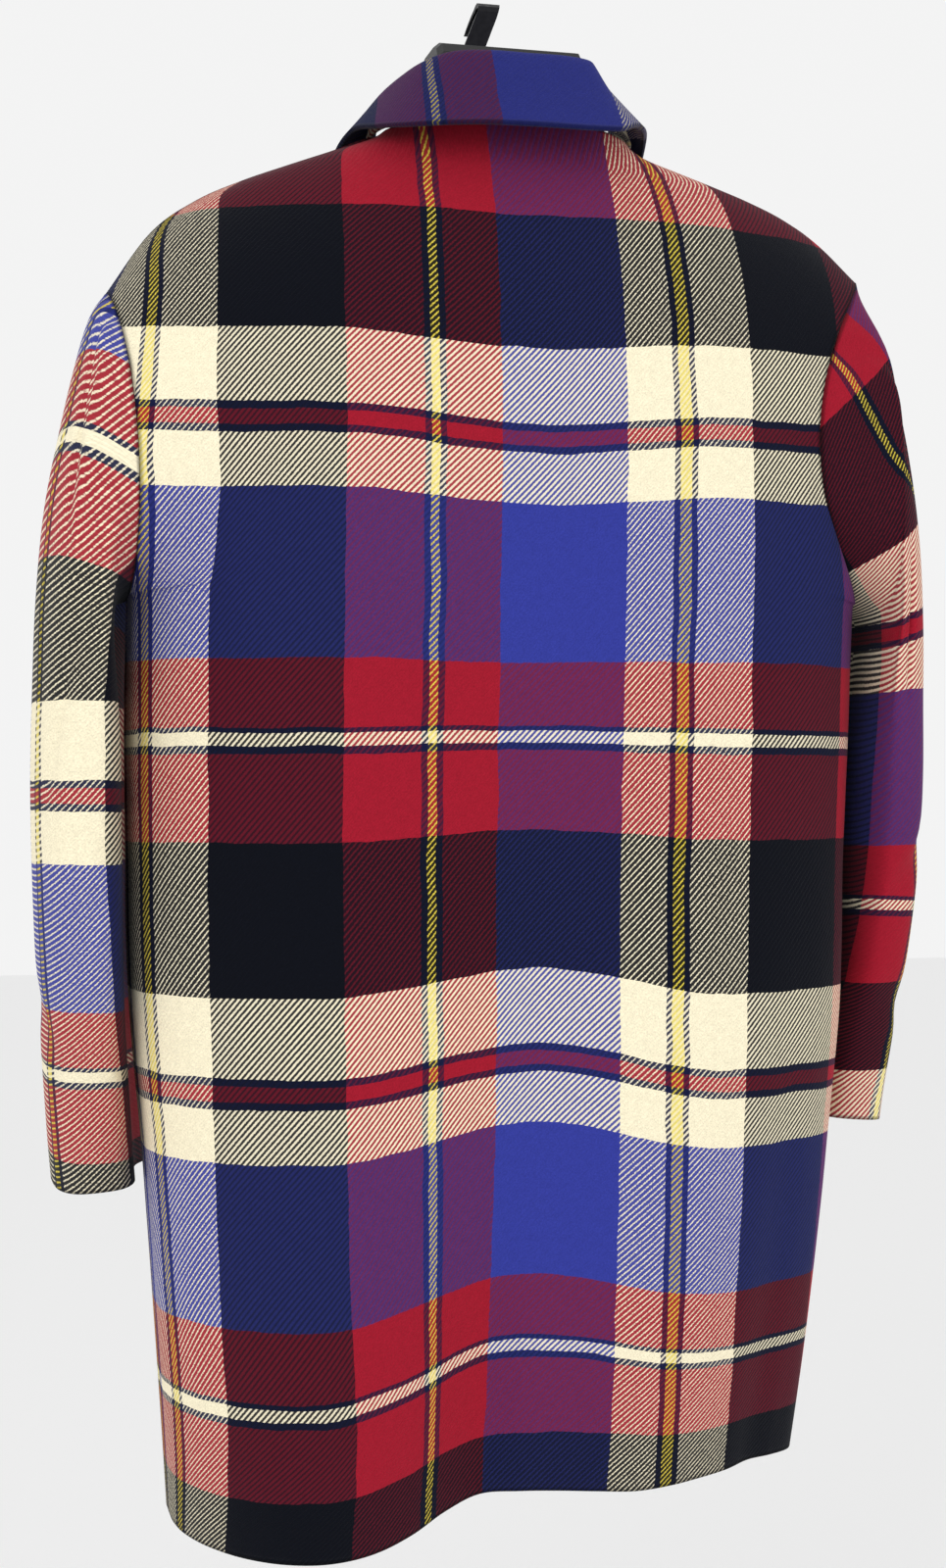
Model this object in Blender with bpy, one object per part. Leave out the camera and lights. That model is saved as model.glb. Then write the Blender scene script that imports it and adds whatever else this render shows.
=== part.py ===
"""A plaid wool toggle coat, closed at the front, hung on a broad moulded hanger.

Metres, +Z up. The coat's back faces -Y and its front +Y; its right side is at +X. The origin
is the inner top of the hanger's hook.
"""

import math

import bmesh
import bpy
import numpy as np
from mathutils import Vector
from mathutils.bvhtree import BVHTree

for thing in list(bpy.data.objects):
    bpy.data.objects.remove(thing, do_unlink=True)


def table(names, *rows):
    """A short table as named columns, with its rows from the highest level or first station down."""
    return dict(zip(names.split(), np.array(rows, float).T))


def read(columns, name, key, at):
    """A column's value at a place along the key column, eased smoothly between the rows."""
    keys, values = columns[key], columns[name]
    if keys[0] > keys[-1]:
        keys, values = keys[::-1], values[::-1]
    slopes = np.gradient(values, keys)
    at = np.clip(np.asarray(at, float), keys[0], keys[-1])
    i = np.clip(np.searchsorted(keys, at) - 1, 0, len(keys) - 2)
    step = keys[i + 1] - keys[i]
    f = (at - keys[i]) / step
    start = values[i] + f * f * (3 - 2 * f) * (values[i + 1] - values[i])
    return start + step * f * (1 - f) * ((1 - f) * slopes[i] - f * slopes[i + 1])


def ease(value):
    value = np.clip(value, 0, 1)
    return value * value * (3 - 2 * value)


# Cloth and seams
WALL = 0.003
SEAM = 0.0003

# Grid steps of the panels: rows through the armhole, rows below it, columns of a half panel
ARM_ROWS = 10
BODY_ROWS = 14
HALF_COLUMNS = 11
NECK_COLUMNS = 5
# The first rows, which change from the neck and shoulder seams to the level lines below
YOKE_ROWS = 6
YOKE_LEAN = (0.25, 0.60)

# The neck seam, from centre back (0) past the shoulder (0.5) to centre front (1)
NECK = table(
    "station x y z",
    (0.00, 0.000, -0.054, -0.084),
    (0.18, 0.044, -0.048, -0.084),
    (0.36, 0.073, -0.026, -0.085),
    (0.50, 0.083, 0.000, -0.086),
    (0.66, 0.078, 0.040, -0.101),
    (0.82, 0.050, 0.075, -0.122),
    (1.00, 0.000, 0.088, -0.134),
)

# The shoulder seams fall gently, then round down over the shoulder's end. By side: distance
# of the end from the centre, the gentle fall, and how far the end rounds down
SHOULDER = {-1: (0.249, 0.062, 0.044), 1: (0.238, 0.046, 0.028)}
SHOULDER_Y = 0.004
SHOULDER_SHARP = 6

# The armhole, from the shoulder's end to the underarm
UNDERARM_X = 0.235
UNDERARM_Y = 0.010
UNDERARM_Z = -0.378
ARMHOLE_DEPTH = 0.074
# How far the armhole's edge bows inwards: it sits low on the left back and high on the right
ARMHOLE_BOW = {("back", "left"): 0.006, ("back", "right"): 0.048,
               ("front", "left"): 0.030, ("front", "right"): 0.030}

# A panel's level lines beside the armhole turn through part of a quarter, and at the underarm
# through all of it. Their squareness, and how late on the way they drop to the armhole's edge
ARM_TURN = 0.66
ARM_SQUARE = 2.4
UNDERARM_SQUARE = 2.5
ARM_LATE = 3
ARM_TURN_FROM = 3

# Centre back and centre front, down to the underarm's level
CENTRE = table(
    "level back front",
    (-0.084, -0.054, 0.070),
    (-0.134, -0.076, 0.088),
    (-0.180, -0.087, 0.100),
    (-0.250, -0.094, 0.107),
    (-0.310, -0.094, 0.111),
    (-0.378, -0.091, 0.114),
)

# The body's sections from the underarm down, by the level of the side seam
BODY = table(
    "level width depth centre square",
    (-0.378, 0.235, 0.1025, 0.0115, 2.5),
    (-0.450, 0.235, 0.106, 0.020, 2.6),
    (-0.550, 0.233, 0.108, 0.028, 2.7),
    (-0.600, 0.232, 0.109, 0.029, 2.8),
    (-0.650, 0.229, 0.109, 0.029, 2.8),
    (-0.700, 0.224, 0.108, 0.030, 2.8),
    (-0.750, 0.220, 0.106, 0.032, 2.8),
    (-0.800, 0.216, 0.104, 0.036, 2.8),
    (-0.850, 0.212, 0.102, 0.041, 2.8),
    (-0.950, 0.204, 0.099, 0.056, 2.8),
)
HEM = -0.925

# How far the level weft lines drop from the centre to each side, by their level at the centre
DROP = table(
    "level left right",
    (-0.084, -0.000, -0.000),
    (-0.230, -0.010, -0.010),
    (-0.417, -0.002, -0.002),
    (-0.518, 0.008, 0.008),
    (-0.601, 0.016, 0.019),
    (-0.690, 0.021, 0.022),
    (-0.780, 0.025, 0.020),
    (-0.821, 0.032, 0.017),
    (-0.877, 0.032, 0.009),
    (-0.925, 0.027, 0.001),
)
DROP_REACH = 0.55

# The largest folds: place across (from centre, as a share of the half width), half width,
# height out of the cloth at the hem, the level where it starts and the level of full height
BACK_FOLDS = table(
    "place reach height start full",
    (-0.52, 0.34, 0.022, -0.50, -0.92),
    (-0.12, 0.13, -0.010, -0.62, -0.90),
    (0.28, 0.20, 0.009, -0.55, -0.92),
    (0.66, 0.16, -0.009, -0.50, -0.88),
)
FRONT_FOLDS = table(
    "place reach height start full",
    (0.42, 0.20, 0.011, -0.52, -0.92),
    (0.74, 0.14, -0.008, -0.55, -0.90),
)

# The right front laps over the left one at the centre front
LAP = 0.024
LAP_CLEARANCE = 0.0012
LAP_FADE = (0.028, 0.070)

# Sleeves: the outer line from the shoulder and the inner line from the underarm
SLEEVE = table(
    "station outer_x outer_z inner_x inner_z centre_y half_deep",
    (0, 0.2410, -0.175, 0.2350, -0.378, 0.007, 0.074),
    (1, 0.2525, -0.194, 0.2430, -0.382, 0.009, 0.077),
    (2, 0.2630, -0.227, 0.2455, -0.394, 0.012, 0.079),
    (3, 0.2740, -0.270, 0.2450, -0.414, 0.017, 0.080),
    (4, 0.2830, -0.318, 0.2420, -0.440, 0.022, 0.080),
    (5, 0.2880, -0.374, 0.2395, -0.472, 0.026, 0.079),
    (6, 0.2900, -0.432, 0.2385, -0.510, 0.030, 0.077),
    (7, 0.2910, -0.490, 0.2375, -0.552, 0.033, 0.075),
    (8, 0.2896, -0.550, 0.2365, -0.594, 0.037, 0.072),
    (9, 0.2866, -0.610, 0.2345, -0.636, 0.046, 0.069),
    (10, 0.2825, -0.665, 0.2310, -0.676, 0.057, 0.066),
    (11, 0.2785, -0.715, 0.2275, -0.716, 0.067, 0.063),
    (12, 0.2760, -0.742, 0.2255, -0.738, 0.070, 0.062),
)
SLEEVE_SQUARE = 2.8
SLEEVE_CLING = 0.030
# How the two sleeves hang: the cuff's forward swing, how far it is drawn up, and how much
# flatter the sleeve lies at its top and at its cuff
SLEEVE_POSE = {
    "sleeve_left": (-1, 0.000, 0.000, 0.000, 0.000),
    "sleeve_right": (1, 0.012, 0.026, 0.0150, -0.0025),
}

# Collar: fold line and lower edge of the fall, by the same stations as the neck seam
COLLAR = table(
    "station fold_x fold_y fold_z edge_x edge_y edge_z",
    (0.00, 0.000, -0.064, -0.046, 0.000, -0.098, -0.098),
    (0.18, 0.040, -0.060, -0.046, 0.052, -0.090, -0.096),
    (0.36, 0.063, -0.036, -0.050, 0.086, -0.058, -0.087),
    (0.50, 0.075, -0.004, -0.058, 0.098, 0.000, -0.079),
    (0.66, 0.075, 0.040, -0.079, 0.102, 0.060, -0.104),
    (0.82, 0.053, 0.080, -0.104, 0.085, 0.116, -0.152),
    (0.97, 0.012, 0.100, -0.120, 0.040, 0.138, -0.188),
)
COLLAR_END = 0.97
COLLAR_ROLL = 0.006
# The stand starts just inside the neck seam and above it, more so in front
COLLAR_INSIDE = 0.0006
COLLAR_ABOVE = (0.0012, 0.0030)
# Behind the right shoulder the collar is drawn in: how far, at which station, over what reach
COLLAR_DRAWN = (0.011, 0.34, 0.12)

# Hanger
BLOCK_HALF_WIDTH = 0.047
BLOCK_HALF_DEPTH = 0.030
BLOCK_TOP = -0.028
BLOCK_HIGH = 0.086
BLOCK_EDGE = 0.003
ARM_END = 0.190
ARM_GAP = 0.0028
ARM_HALF_HIGH = 0.008
ARM_HALF_DEEP = 0.012
ARM_SHARES = (1.0, 0.97, 0.9, 0.75, 0.6, 0.45, 0.34)
ARM_ROUNDNESS = 1.7
# Where an arm grows out of the block: distance beside it, forwards, up from its foot, half
# sizes and squareness
ARM_ROOT = table(
    "beside y rise half_high half_deep square",
    (0.0150, 0.006, 0.014, 0.012, 0.016, 2.4),
    (0.0005, 0.004, 0.016, 0.016, 0.022, 3.0),
)
HOOK_WIDTH = 0.0136
HOOK_THICK = 0.003
HOOK_INNER = 0.0095
HOOK_LEAN = 0.007
HOOK_STEPS = 10
HOOK_TURN = 205
HOOK_ASIDE = 0.0095

# Toggle fastenings
TOGGLE_LEVELS = (-0.235, -0.365, -0.495)
TOGGLE_LONG = 0.050
TOGGLE_RADIUS = 0.0075
TOGGLE_WAIST = 0.0055
TOGGLE_SINK = 0.0010
CORD_RADIUS = 0.0022
LOOP_HALF_GAP = 0.0065
LOOP_INNER = 0.0035
PATCH_NEAR = 0.046
PATCH_LONG = 0.036
PATCH_WIDE = 0.034
PATCH_THICK = 0.0022
PATCH_LIFT = 0.0012


def material(name, colour, roughness, metallic=0.0):
    made = bpy.data.materials.new(name)
    made.use_nodes = True
    shader = made.node_tree.nodes["Principled BSDF"]
    shader.inputs["Base Color"].default_value = (*colour, 1)
    shader.inputs["Roughness"].default_value = roughness
    shader.inputs["Metallic"].default_value = metallic
    made.diffuse_color = (*colour, 1)
    return made


def closed_wall(name, outer, inner, finish, ring=False):
    """One closed body between two grids of points; with ring, the columns join round."""
    rows, columns = outer.shape[:2]
    mesh = bmesh.new()
    skins = [[[mesh.verts.new(p) for p in row] for row in grid] for grid in (outer, inner)]
    spans = columns if ring else columns - 1

    def quad(a, b, c, d):
        mesh.faces.new((a, b, c, d))

    for i in range(rows - 1):
        for j in range(spans):
            k = (j + 1) % columns
            quad(skins[0][i][j], skins[0][i][k], skins[0][i + 1][k], skins[0][i + 1][j])
            quad(skins[1][i][k], skins[1][i][j], skins[1][i + 1][j], skins[1][i + 1][k])
    for j in range(spans):
        k = (j + 1) % columns
        quad(skins[1][0][j], skins[1][0][k], skins[0][0][k], skins[0][0][j])
        quad(skins[0][-1][j], skins[0][-1][k], skins[1][-1][k], skins[1][-1][j])
    if not ring:
        for i in range(rows - 1):
            quad(skins[0][i][0], skins[0][i + 1][0], skins[1][i + 1][0], skins[1][i][0])
            quad(skins[1][i][-1], skins[1][i + 1][-1], skins[0][i + 1][-1], skins[0][i][-1])
    bmesh.ops.recalc_face_normals(mesh, faces=mesh.faces)
    return finished(name, mesh, finish)


def finished(name, mesh, finish, sharp_angle=40):
    data = bpy.data.meshes.new(name)
    mesh.to_mesh(data)
    mesh.free()
    data.shade_smooth()
    data.set_sharp_from_angle(angle=math.radians(sharp_angle))
    data.materials.append(finish)
    made = bpy.data.objects.new(name, data)
    bpy.context.collection.objects.link(made)
    return made


def unit(vectors):
    return vectors / np.linalg.norm(vectors, axis=-1, keepdims=True)


def grid_normals(grid, ring=False):
    """Normals of a grid of points, by the cross product of its row and column directions."""
    if ring:
        around = np.roll(grid, -1, axis=1) - np.roll(grid, 1, axis=1)
    else:
        around = np.gradient(grid, axis=1)
    return unit(np.cross(around, np.gradient(grid, axis=0)))


def evenly(points, count):
    """The same line again, with its points at equal distances."""
    lengths = np.concatenate([[0], np.cumsum(np.linalg.norm(np.diff(points, axis=0), axis=1))])
    at = np.linspace(0, lengths[-1], count)
    return np.stack([np.interp(at, lengths, points[:, k]) for k in range(3)], axis=1)


def shoulder_height(x, side):
    """Height of one shoulder seam's line at a distance from the centre."""
    neck_x, neck_z = NECK["x"][3], NECK["z"][3]
    end_x, fall, rounding = SHOULDER[side]
    share = np.clip((np.abs(x) - neck_x) / (end_x - neck_x), 0, 1)
    return neck_z - fall * share - rounding * share**SHOULDER_SHARP


def shoulder_normal(x, side):
    """The direction out of the cloth that the back and the front share at the shoulder seam."""
    near = max(abs(x) - 0.002, NECK["x"][3])
    far = min(abs(x) + 0.002, SHOULDER[side][0])
    rise = (shoulder_height(near, side) - shoulder_height(far, side)) / (far - near)
    return unit(np.array([side * float(rise), 0, 1.0]))


def armhole(angle, face, side):
    """A point of the armhole's edge: angle 0 at the shoulder, pi at the underarm."""
    down = (1 - math.cos(angle)) / 2
    top_x = SHOULDER[side][0]
    top_z = float(shoulder_height(top_x, side))
    bow = ARMHOLE_BOW["back" if face < 0 else "front", "left" if side < 0 else "right"]
    x = top_x + (UNDERARM_X - top_x) * down - bow * math.sin(angle) ** 2
    y = SHOULDER_Y + (UNDERARM_Y - SHOULDER_Y) * down + face * ARMHOLE_DEPTH * math.sin(angle)
    return np.array([side * x, y, top_z + (UNDERARM_Z - top_z) * down])


def armhole_normal(angle, face, side):
    """The direction out of the cloth that the panels and the sleeve share at the armhole."""
    up = math.cos(angle)
    out = 0.15 + 0.45 * max(up, 0) ** 2 + 0.20 * max(-up, 0) ** 2
    return unit(np.array([side * out, face * math.sin(angle), 0.75 * up]))


def top_edge(face, side):
    """Neck seam and then shoulder seam of one half panel, from the centre outwards."""
    station = np.linspace(0.0 if face < 0 else 1.0, 0.5, NECK_COLUMNS + 1)
    neck = np.stack([read(NECK, axis, "station", station) for axis in "xyz"], axis=1)
    share = np.linspace(0, 1, HALF_COLUMNS - NECK_COLUMNS + 1)[1:]
    x = neck[-1][0] + (SHOULDER[side][0] - neck[-1][0]) * share
    y = neck[-1][1] + (SHOULDER_Y - neck[-1][1]) * share
    points = np.concatenate([neck, np.stack([x, y, shoulder_height(x, side)], axis=1)])
    points[NECK_COLUMNS:, 1] += face * SEAM / 2
    points[:, 0] *= side
    return points


def half_row(centre, edge, turn, square, reach, late):
    """One line of a half panel, turning squarely to the side and dropping to its edge on the way."""
    angle = np.linspace(0, turn * math.pi / 2, 120)
    across = np.sin(angle) ** (2 / square)
    deep = np.cos(angle) ** (2 / square)
    x = edge[0] * across / across[-1]
    y = edge[1] + (centre[1] - edge[1]) * (deep - deep[-1]) / (1 - deep[-1])
    share = ease(np.abs(across / across[-1]) / reach) ** late
    z = centre[2] + (edge[2] - centre[2]) * share
    return evenly(np.stack([x, y, z], axis=1), HALF_COLUMNS + 1)


def half_panel(face, side):
    """Outer points of one half of the back or of one front, from the neck down to the hem."""
    name = "left" if side < 0 else "right"
    line = "back" if face < 0 else "front"
    first = float(NECK["z"][0] if face < 0 else NECK["z"][-1])
    rows = [top_edge(face, side)]
    tie = np.linspace(0, 1, HALF_COLUMNS + 1)[:, None]
    for i in range(1, ARM_ROWS + 1):
        level = first + (UNDERARM_Z - first) * i / ARM_ROWS
        centre = np.array([0, float(read(CENTRE, line, "level", level)), level])
        edge = armhole(math.pi * i / ARM_ROWS, face, side)
        if i == ARM_ROWS:
            edge[1] += face * SEAM / 2
        turned = half_row(centre, edge, ARM_TURN, ARM_SQUARE, 1, ARM_LATE)
        underarm = np.array([side * UNDERARM_X, UNDERARM_Y, edge[2]])
        whole = half_row(centre, underarm, 1, UNDERARM_SQUARE, 1, ARM_LATE)
        whole += tie**7 * (edge - whole[-1])
        share = ease((i - ARM_TURN_FROM) / (ARM_ROWS - ARM_TURN_FROM))
        rows.append(turned + (whole - turned) * share)
    full = rows[YOKE_ROWS].copy()
    top = rows[0]
    least, more = YOKE_LEAN
    lean = least + more * ease(2 * np.linspace(0, 1, HALF_COLUMNS + 1))
    for i in range(1, YOKE_ROWS):
        q = i / YOKE_ROWS
        sideways = math.sin(q * math.pi / 2)
        down = (1 - lean) * q + lean * (1 - math.cos(q * math.pi / 2))
        row = np.empty_like(full)
        row[:, 0] = top[:, 0] + (full[:, 0] - top[:, 0]) * q
        row[:, 1] = top[:, 1] + (full[:, 1] - top[:, 1]) * sideways
        row[:, 2] = top[:, 2] + (full[:, 2] - top[:, 2]) * down
        for _ in range(2 * i):
            row[1:-1] = (row[:-2] + 2 * row[1:-1] + row[2:]) / 4
        rows[i] = row + tie**3 * (rows[i][-1] - row[-1])
    for i in range(1, BODY_ROWS + 1):
        level = UNDERARM_Z + (HEM - UNDERARM_Z) * i / BODY_ROWS
        drop = float(read(DROP, name, "level", level)) * ease(i / 3)
        low = level - drop
        width, side_y = (float(read(BODY, key, "level", low)) for key in ("width", "centre"))
        middle, depth, square = (float(read(BODY, key, "level", level))
                                 for key in ("centre", "depth", "square"))
        centre = np.array([0, middle + face * depth, level])
        edge = np.array([side * width, side_y + face * SEAM / 2, low])
        rows.append(half_row(centre, edge, 1, square, DROP_REACH, 1))
    return np.array(rows)


def folded(grid, normals, folds, half_width_share):
    """The grid with its large folds raised out of the cloth or pressed into it."""
    offset = np.zeros(grid.shape[:2])
    for place, reach, height, start, full in zip(*folds.values()):
        bell = np.exp(-(((half_width_share - place) / reach) ** 2) * 2)
        offset += height * bell * ease((start - grid[:, :, 2]) / (start - full))
    return grid + offset[:, :, None] * normals


def edge_fixed_normals(grid, face, sides):
    """Grid normals, with those of the shoulder, armhole and side seams shared by both pieces."""
    normals = grid_normals(grid)
    if np.sum(normals[ARM_ROWS][:, 1]) * face < 0:
        normals = -normals
    for side, last in sides:
        for j in range(grid.shape[1]):
            if grid[0][j][0] * side > NECK["x"][3] - 0.001:
                normals[0][j] = shoulder_normal(grid[0][j][0], side)
        for i in range(ARM_ROWS + 1):
            normals[i][last] = armhole_normal(math.pi * i / ARM_ROWS, face, side)
        for i in range(ARM_ROWS + 1, grid.shape[0]):
            normals[i][last] = (side, 0, 0)
    return normals


def cloth_piece(name, grid, normals, finish):
    return closed_wall(name, grid, grid - WALL * normals, finish)


def make_back(finish):
    left = half_panel(-1, -1)
    right = half_panel(-1, 1)
    grid = np.concatenate([left[:, :0:-1], right], axis=1)
    normals = edge_fixed_normals(grid, -1, ((-1, 0), (1, grid.shape[1] - 1)))
    share = np.linspace(-1, 1, grid.shape[1])[None, :].repeat(grid.shape[0], 0)
    fade = 1 - np.abs(share) ** 8
    moved = folded(grid, normals, BACK_FOLDS, share)
    grid = grid + (moved - grid) * fade[:, :, None]
    inner = edge_fixed_normals(grid, -1, ((-1, 0), (1, grid.shape[1] - 1)))
    return cloth_piece("back", grid, inner, finish)


def make_front(name, side, finish):
    """One front: from its edge past the centre line, out to the armhole and side seam."""
    half = half_panel(1, side)
    lap = np.array([[np.interp(LAP, np.abs(row[:, 0]), row[:, k]) for k in range(3)] for row in half])
    lap[:, 0] = side * -LAP
    grid = np.concatenate([lap[:, None], half], axis=1)
    last = grid.shape[1] - 1
    normals = edge_fixed_normals(grid, 1, ((side, last),))
    share = np.concatenate([[-0.1], np.linspace(0, 1, HALF_COLUMNS + 1)])
    share = share[None, :].repeat(grid.shape[0], 0)
    fade = ease(share / 0.25) * (1 - np.abs(share) ** 8)
    moved = folded(grid, normals, FRONT_FOLDS, share)
    grid = grid + (moved - grid) * fade[:, :, None]
    if side > 0:
        near, far = LAP_FADE
        lift = (WALL + LAP_CLEARANCE) * (1 - ease((grid[:, :, 0] - near) / (far - near)))
        grid = grid + lift[:, :, None] * np.array([0, 1, 0])
    normals = edge_fixed_normals(grid, 1, ((side, last),))
    return cloth_piece(name, grid, normals, finish)


def make_sleeve(name, pose, finish):
    """A tube of rings from the armhole to the cuff, flattened beside the body."""
    side, swing, lift, slim_top, slim_cuff = pose
    count = 2 * ARM_ROWS
    angles = [2 * math.pi * j / count for j in range(count)]
    rings = []
    first_normals = []
    for angle in angles:
        face = -1 if angle <= math.pi else 1
        turn = angle if angle <= math.pi else 2 * math.pi - angle
        normal = armhole_normal(turn, face, side)
        along = np.array([side, 0, 0.0])
        along = unit(along - along.dot(normal) * normal)
        first_normals.append(normal)
        rings.append(armhole(turn, face, side) + SEAM * along)
    rings = [np.array(rings)]
    head = armhole(0, -1, side) - np.array([side * SLEEVE["outer_x"][0], 0, SLEEVE["outer_z"][0]])
    for i in range(1, len(SLEEVE["station"])):
        row = {key: values[i] for key, values in SLEEVE.items()}
        down = ease((i - 2) / (len(SLEEVE["station"]) - 3))
        outer_x = row["outer_x"] - slim_top - (slim_cuff - slim_top) * down
        outer = np.array([side * outer_x, 0, row["outer_z"] + lift * down])
        outer += max(1 - i / 3, 0) * np.array([head[0], 0, head[2]])
        inner = np.array([side * row["inner_x"], 0, row["inner_z"] + lift * down])
        centre = (outer + inner) / 2 + np.array([0, row["centre_y"] + swing * down, 0])
        ring = []
        for angle in angles:
            c, s = math.cos(angle), math.sin(angle)
            a = math.copysign(abs(c) ** (2 / SLEEVE_SQUARE), c)
            b = math.copysign(abs(s) ** (2 / SLEEVE_SQUARE), s)
            cling = SLEEVE_CLING * ease((i - 1) / 2) * max(-b, 0) ** 2 * (1 - max(a, 0)) * side
            point = centre + a * (outer - inner) / 2
            ring.append(point - np.array([cling, b * row["half_deep"], 0]))
        rings.append(np.array(ring))
    grid = np.array(rings)
    normals = grid_normals(grid, ring=True)
    if np.dot(normals[8][0], (side, 0, 0)) < 0:
        normals = -normals
    normals[0] = first_normals
    return closed_wall(name, grid, grid - WALL * normals, finish, ring=True)


def make_collar(finish):
    """The collar: up from the neck seam, over the fold line and down to the fall's edge."""
    half = np.linspace(0, 1, 2 * NECK_COLUMNS + 1)
    half[-1] = COLLAR_END
    stations = np.concatenate([-half[:0:-1], half])
    rows = []
    for station in stations:
        side = 1 if station >= 0 else -1
        at = abs(station)
        neck = np.array([float(read(NECK, axis, "station", at)) for axis in "xyz"])
        fold, edge = (
            np.array([float(read(COLLAR, f"{line}_{axis}", "station", at)) for axis in "xyz"])
            for line in ("fold", "edge")
        )
        drawn, drawn_at, drawn_reach = COLLAR_DRAWN
        pull = drawn * math.exp(-(((station - drawn_at) / drawn_reach) ** 2))
        fold[0] -= pull
        edge[0] -= pull
        edge[2] += 0.3 * pull
        outward = unit(np.array([neck[0], neck[1] - 0.01, 0]))
        neck = neck - COLLAR_INSIDE * outward
        above, above_front = COLLAR_ABOVE
        neck[2] += above + above_front * ease((at - 0.5) / 0.3)
        over = unit(np.array([edge[0] - neck[0], edge[1] - neck[1], 0]))
        shoulder = fold + over * COLLAR_ROLL - np.array([0, 0, 0.004])
        line = [neck, (neck + fold) / 2, fold - over * 0.002 - np.array([0, 0, 0.003]), fold,
                shoulder, shoulder + (edge - shoulder) * 0.4, shoulder + (edge - shoulder) * 0.7,
                edge]
        line = np.array(line)
        line[:, 0] *= side
        rows.append(line)
    grid = np.array(rows)
    normals = grid_normals(grid)
    middle = normals[2 * NECK_COLUMNS]
    if middle[-1][1] > 0:
        normals = -normals
    return closed_wall("collar", grid, grid - WALL * normals, finish)


def loft(name, sections, finish, sharp_angle=40):
    """A closed solid through rings of points that all have the same count."""
    mesh = bmesh.new()
    rings = [[mesh.verts.new(p) for p in ring] for ring in sections]
    count = len(rings[0])
    for one, two in zip(rings, rings[1:]):
        for j in range(count):
            k = (j + 1) % count
            mesh.faces.new((one[j], one[k], two[k], two[j]))
    mesh.faces.new(rings[0][::-1])
    mesh.faces.new(rings[-1])
    bmesh.ops.recalc_face_normals(mesh, faces=mesh.faces)
    return finished(name, mesh, finish, sharp_angle)


def make_hanger(finish):
    """Neck block and two broad arms as one moulding, lofted from end to end."""
    corners = 16
    arm_y, neck_x = float(NECK["y"][3]), float(NECK["x"][3])
    low = BLOCK_TOP - BLOCK_HIGH
    half = BLOCK_HIGH / 2
    root = BLOCK_HALF_WIDTH + 0.001
    halves = []
    for side in (1, -1):
        stations = []
        for share in ARM_SHARES:
            x = root + (ARM_END - root) * share
            top = float(shoulder_height(x, side)) - WALL - ARM_GAP
            half_high = ARM_HALF_HIGH * min(1, 1.05 - share**8 * 0.6)
            half_deep = ARM_HALF_DEEP * (1 - 0.35 * share**12)
            y = arm_y + (SHOULDER_Y - arm_y) * max(0, (x - neck_x) / (SHOULDER[side][0] - neck_x))
            stations.append((side * x, y, top - half_high, half_high, half_deep, ARM_ROUNDNESS))
        for beside, y, rise, half_high, half_deep, square in zip(*ARM_ROOT.values()):
            stations.append((side * (BLOCK_HALF_WIDTH + beside), y, low + rise, half_high,
                             half_deep, square))
        stations.append((side * BLOCK_HALF_WIDTH, 0, low + half, half - 0.002,
                         BLOCK_HALF_DEPTH - BLOCK_EDGE, 4))
        stations.append((side * (BLOCK_HALF_WIDTH - BLOCK_EDGE), 0, low + half, half,
                         BLOCK_HALF_DEPTH, 5))
        halves.append(stations)
    sections = []
    for x, y, z, half_high, half_deep, square in halves[0] + halves[1][::-1]:
        ring = []
        for j in range(corners):
            angle = 2 * math.pi * (j + 0.5) / corners
            c, s = math.cos(angle), math.sin(angle)
            a = math.copysign(abs(c) ** (2 / square), c)
            b = math.copysign(abs(s) ** (2 / square), s)
            ring.append((x, y + a * half_deep, z + b * half_high))
        sections.append(ring)
    return loft("hanger", sections, finish)


def make_hook(finish):
    """A flat strip that rises from the block, leans a little and curls forward over a rod."""
    middle = HOOK_INNER + HOOK_THICK / 2
    rise = abs(BLOCK_TOP) - HOOK_INNER - SEAM
    path = [(-middle, BLOCK_TOP + SEAM), (-middle, -HOOK_INNER)]
    for k in range(1, HOOK_STEPS + 1):
        angle = math.pi - math.radians(HOOK_TURN) * k / HOOK_STEPS
        path.append((middle * math.cos(angle), -HOOK_INNER + middle * math.sin(angle)))
    sections = []
    for i, (y, z) in enumerate(path):
        before = path[max(i - 1, 0)]
        after = path[min(i + 1, len(path) - 1)]
        along = unit(np.array([after[0] - before[0], after[1] - before[1]]))
        out = np.array([-along[1], along[0]]) * HOOK_THICK / 2
        lean = HOOK_LEAN * (min(z, 0) / rise)
        ring = []
        for across, turn in ((-1, -1), (1, -1), (1, 1), (-1, 1)):
            x = across * HOOK_WIDTH / 2 + lean - HOOK_ASIDE
            ring.append((x, y + turn * out[0], z + turn * out[1]))
        sections.append(ring)
    return loft("hanger_hook", sections, finish, sharp_angle=50)


def surface_of(objects):
    """A search tree of the outer faces of some cloth pieces."""
    points, faces = [], []
    for thing in objects:
        start = len(points)
        points += [thing.matrix_world @ v.co for v in thing.data.vertices]
        faces += [[start + k for k in p.vertices] for p in thing.data.polygons]
    return BVHTree.FromPolygons(points, faces)


def on_front(tree, x, z):
    """Point and outward direction of the coat's front at a place seen from straight ahead."""
    place, normal, _, _ = tree.ray_cast(Vector((x, 1, z)), Vector((0, -1, 0)))
    return np.array(place), np.array(normal)


def make_patch(name, side, level, tree, finish):
    """A sewn patch with a rounded outer end, which holds the two ends of a loop."""
    rows = []
    for i in range(6):
        share = i / 5
        x = side * (PATCH_NEAR + PATCH_LONG * share)
        half = PATCH_WIDE / 2 * math.sqrt(max(1 - (share / 1.02) ** 4, 0.05))
        rows.append([on_front(tree, x, level + half * k) for k in (-1, -0.5, 0, 0.5, 1)])
    points = np.array([[p for p, _ in row] for row in rows])
    outward = np.array([0, 1.0, 0])
    base = points + PATCH_LIFT * outward
    return closed_wall(name, base + PATCH_THICK * outward, base, finish)


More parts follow.
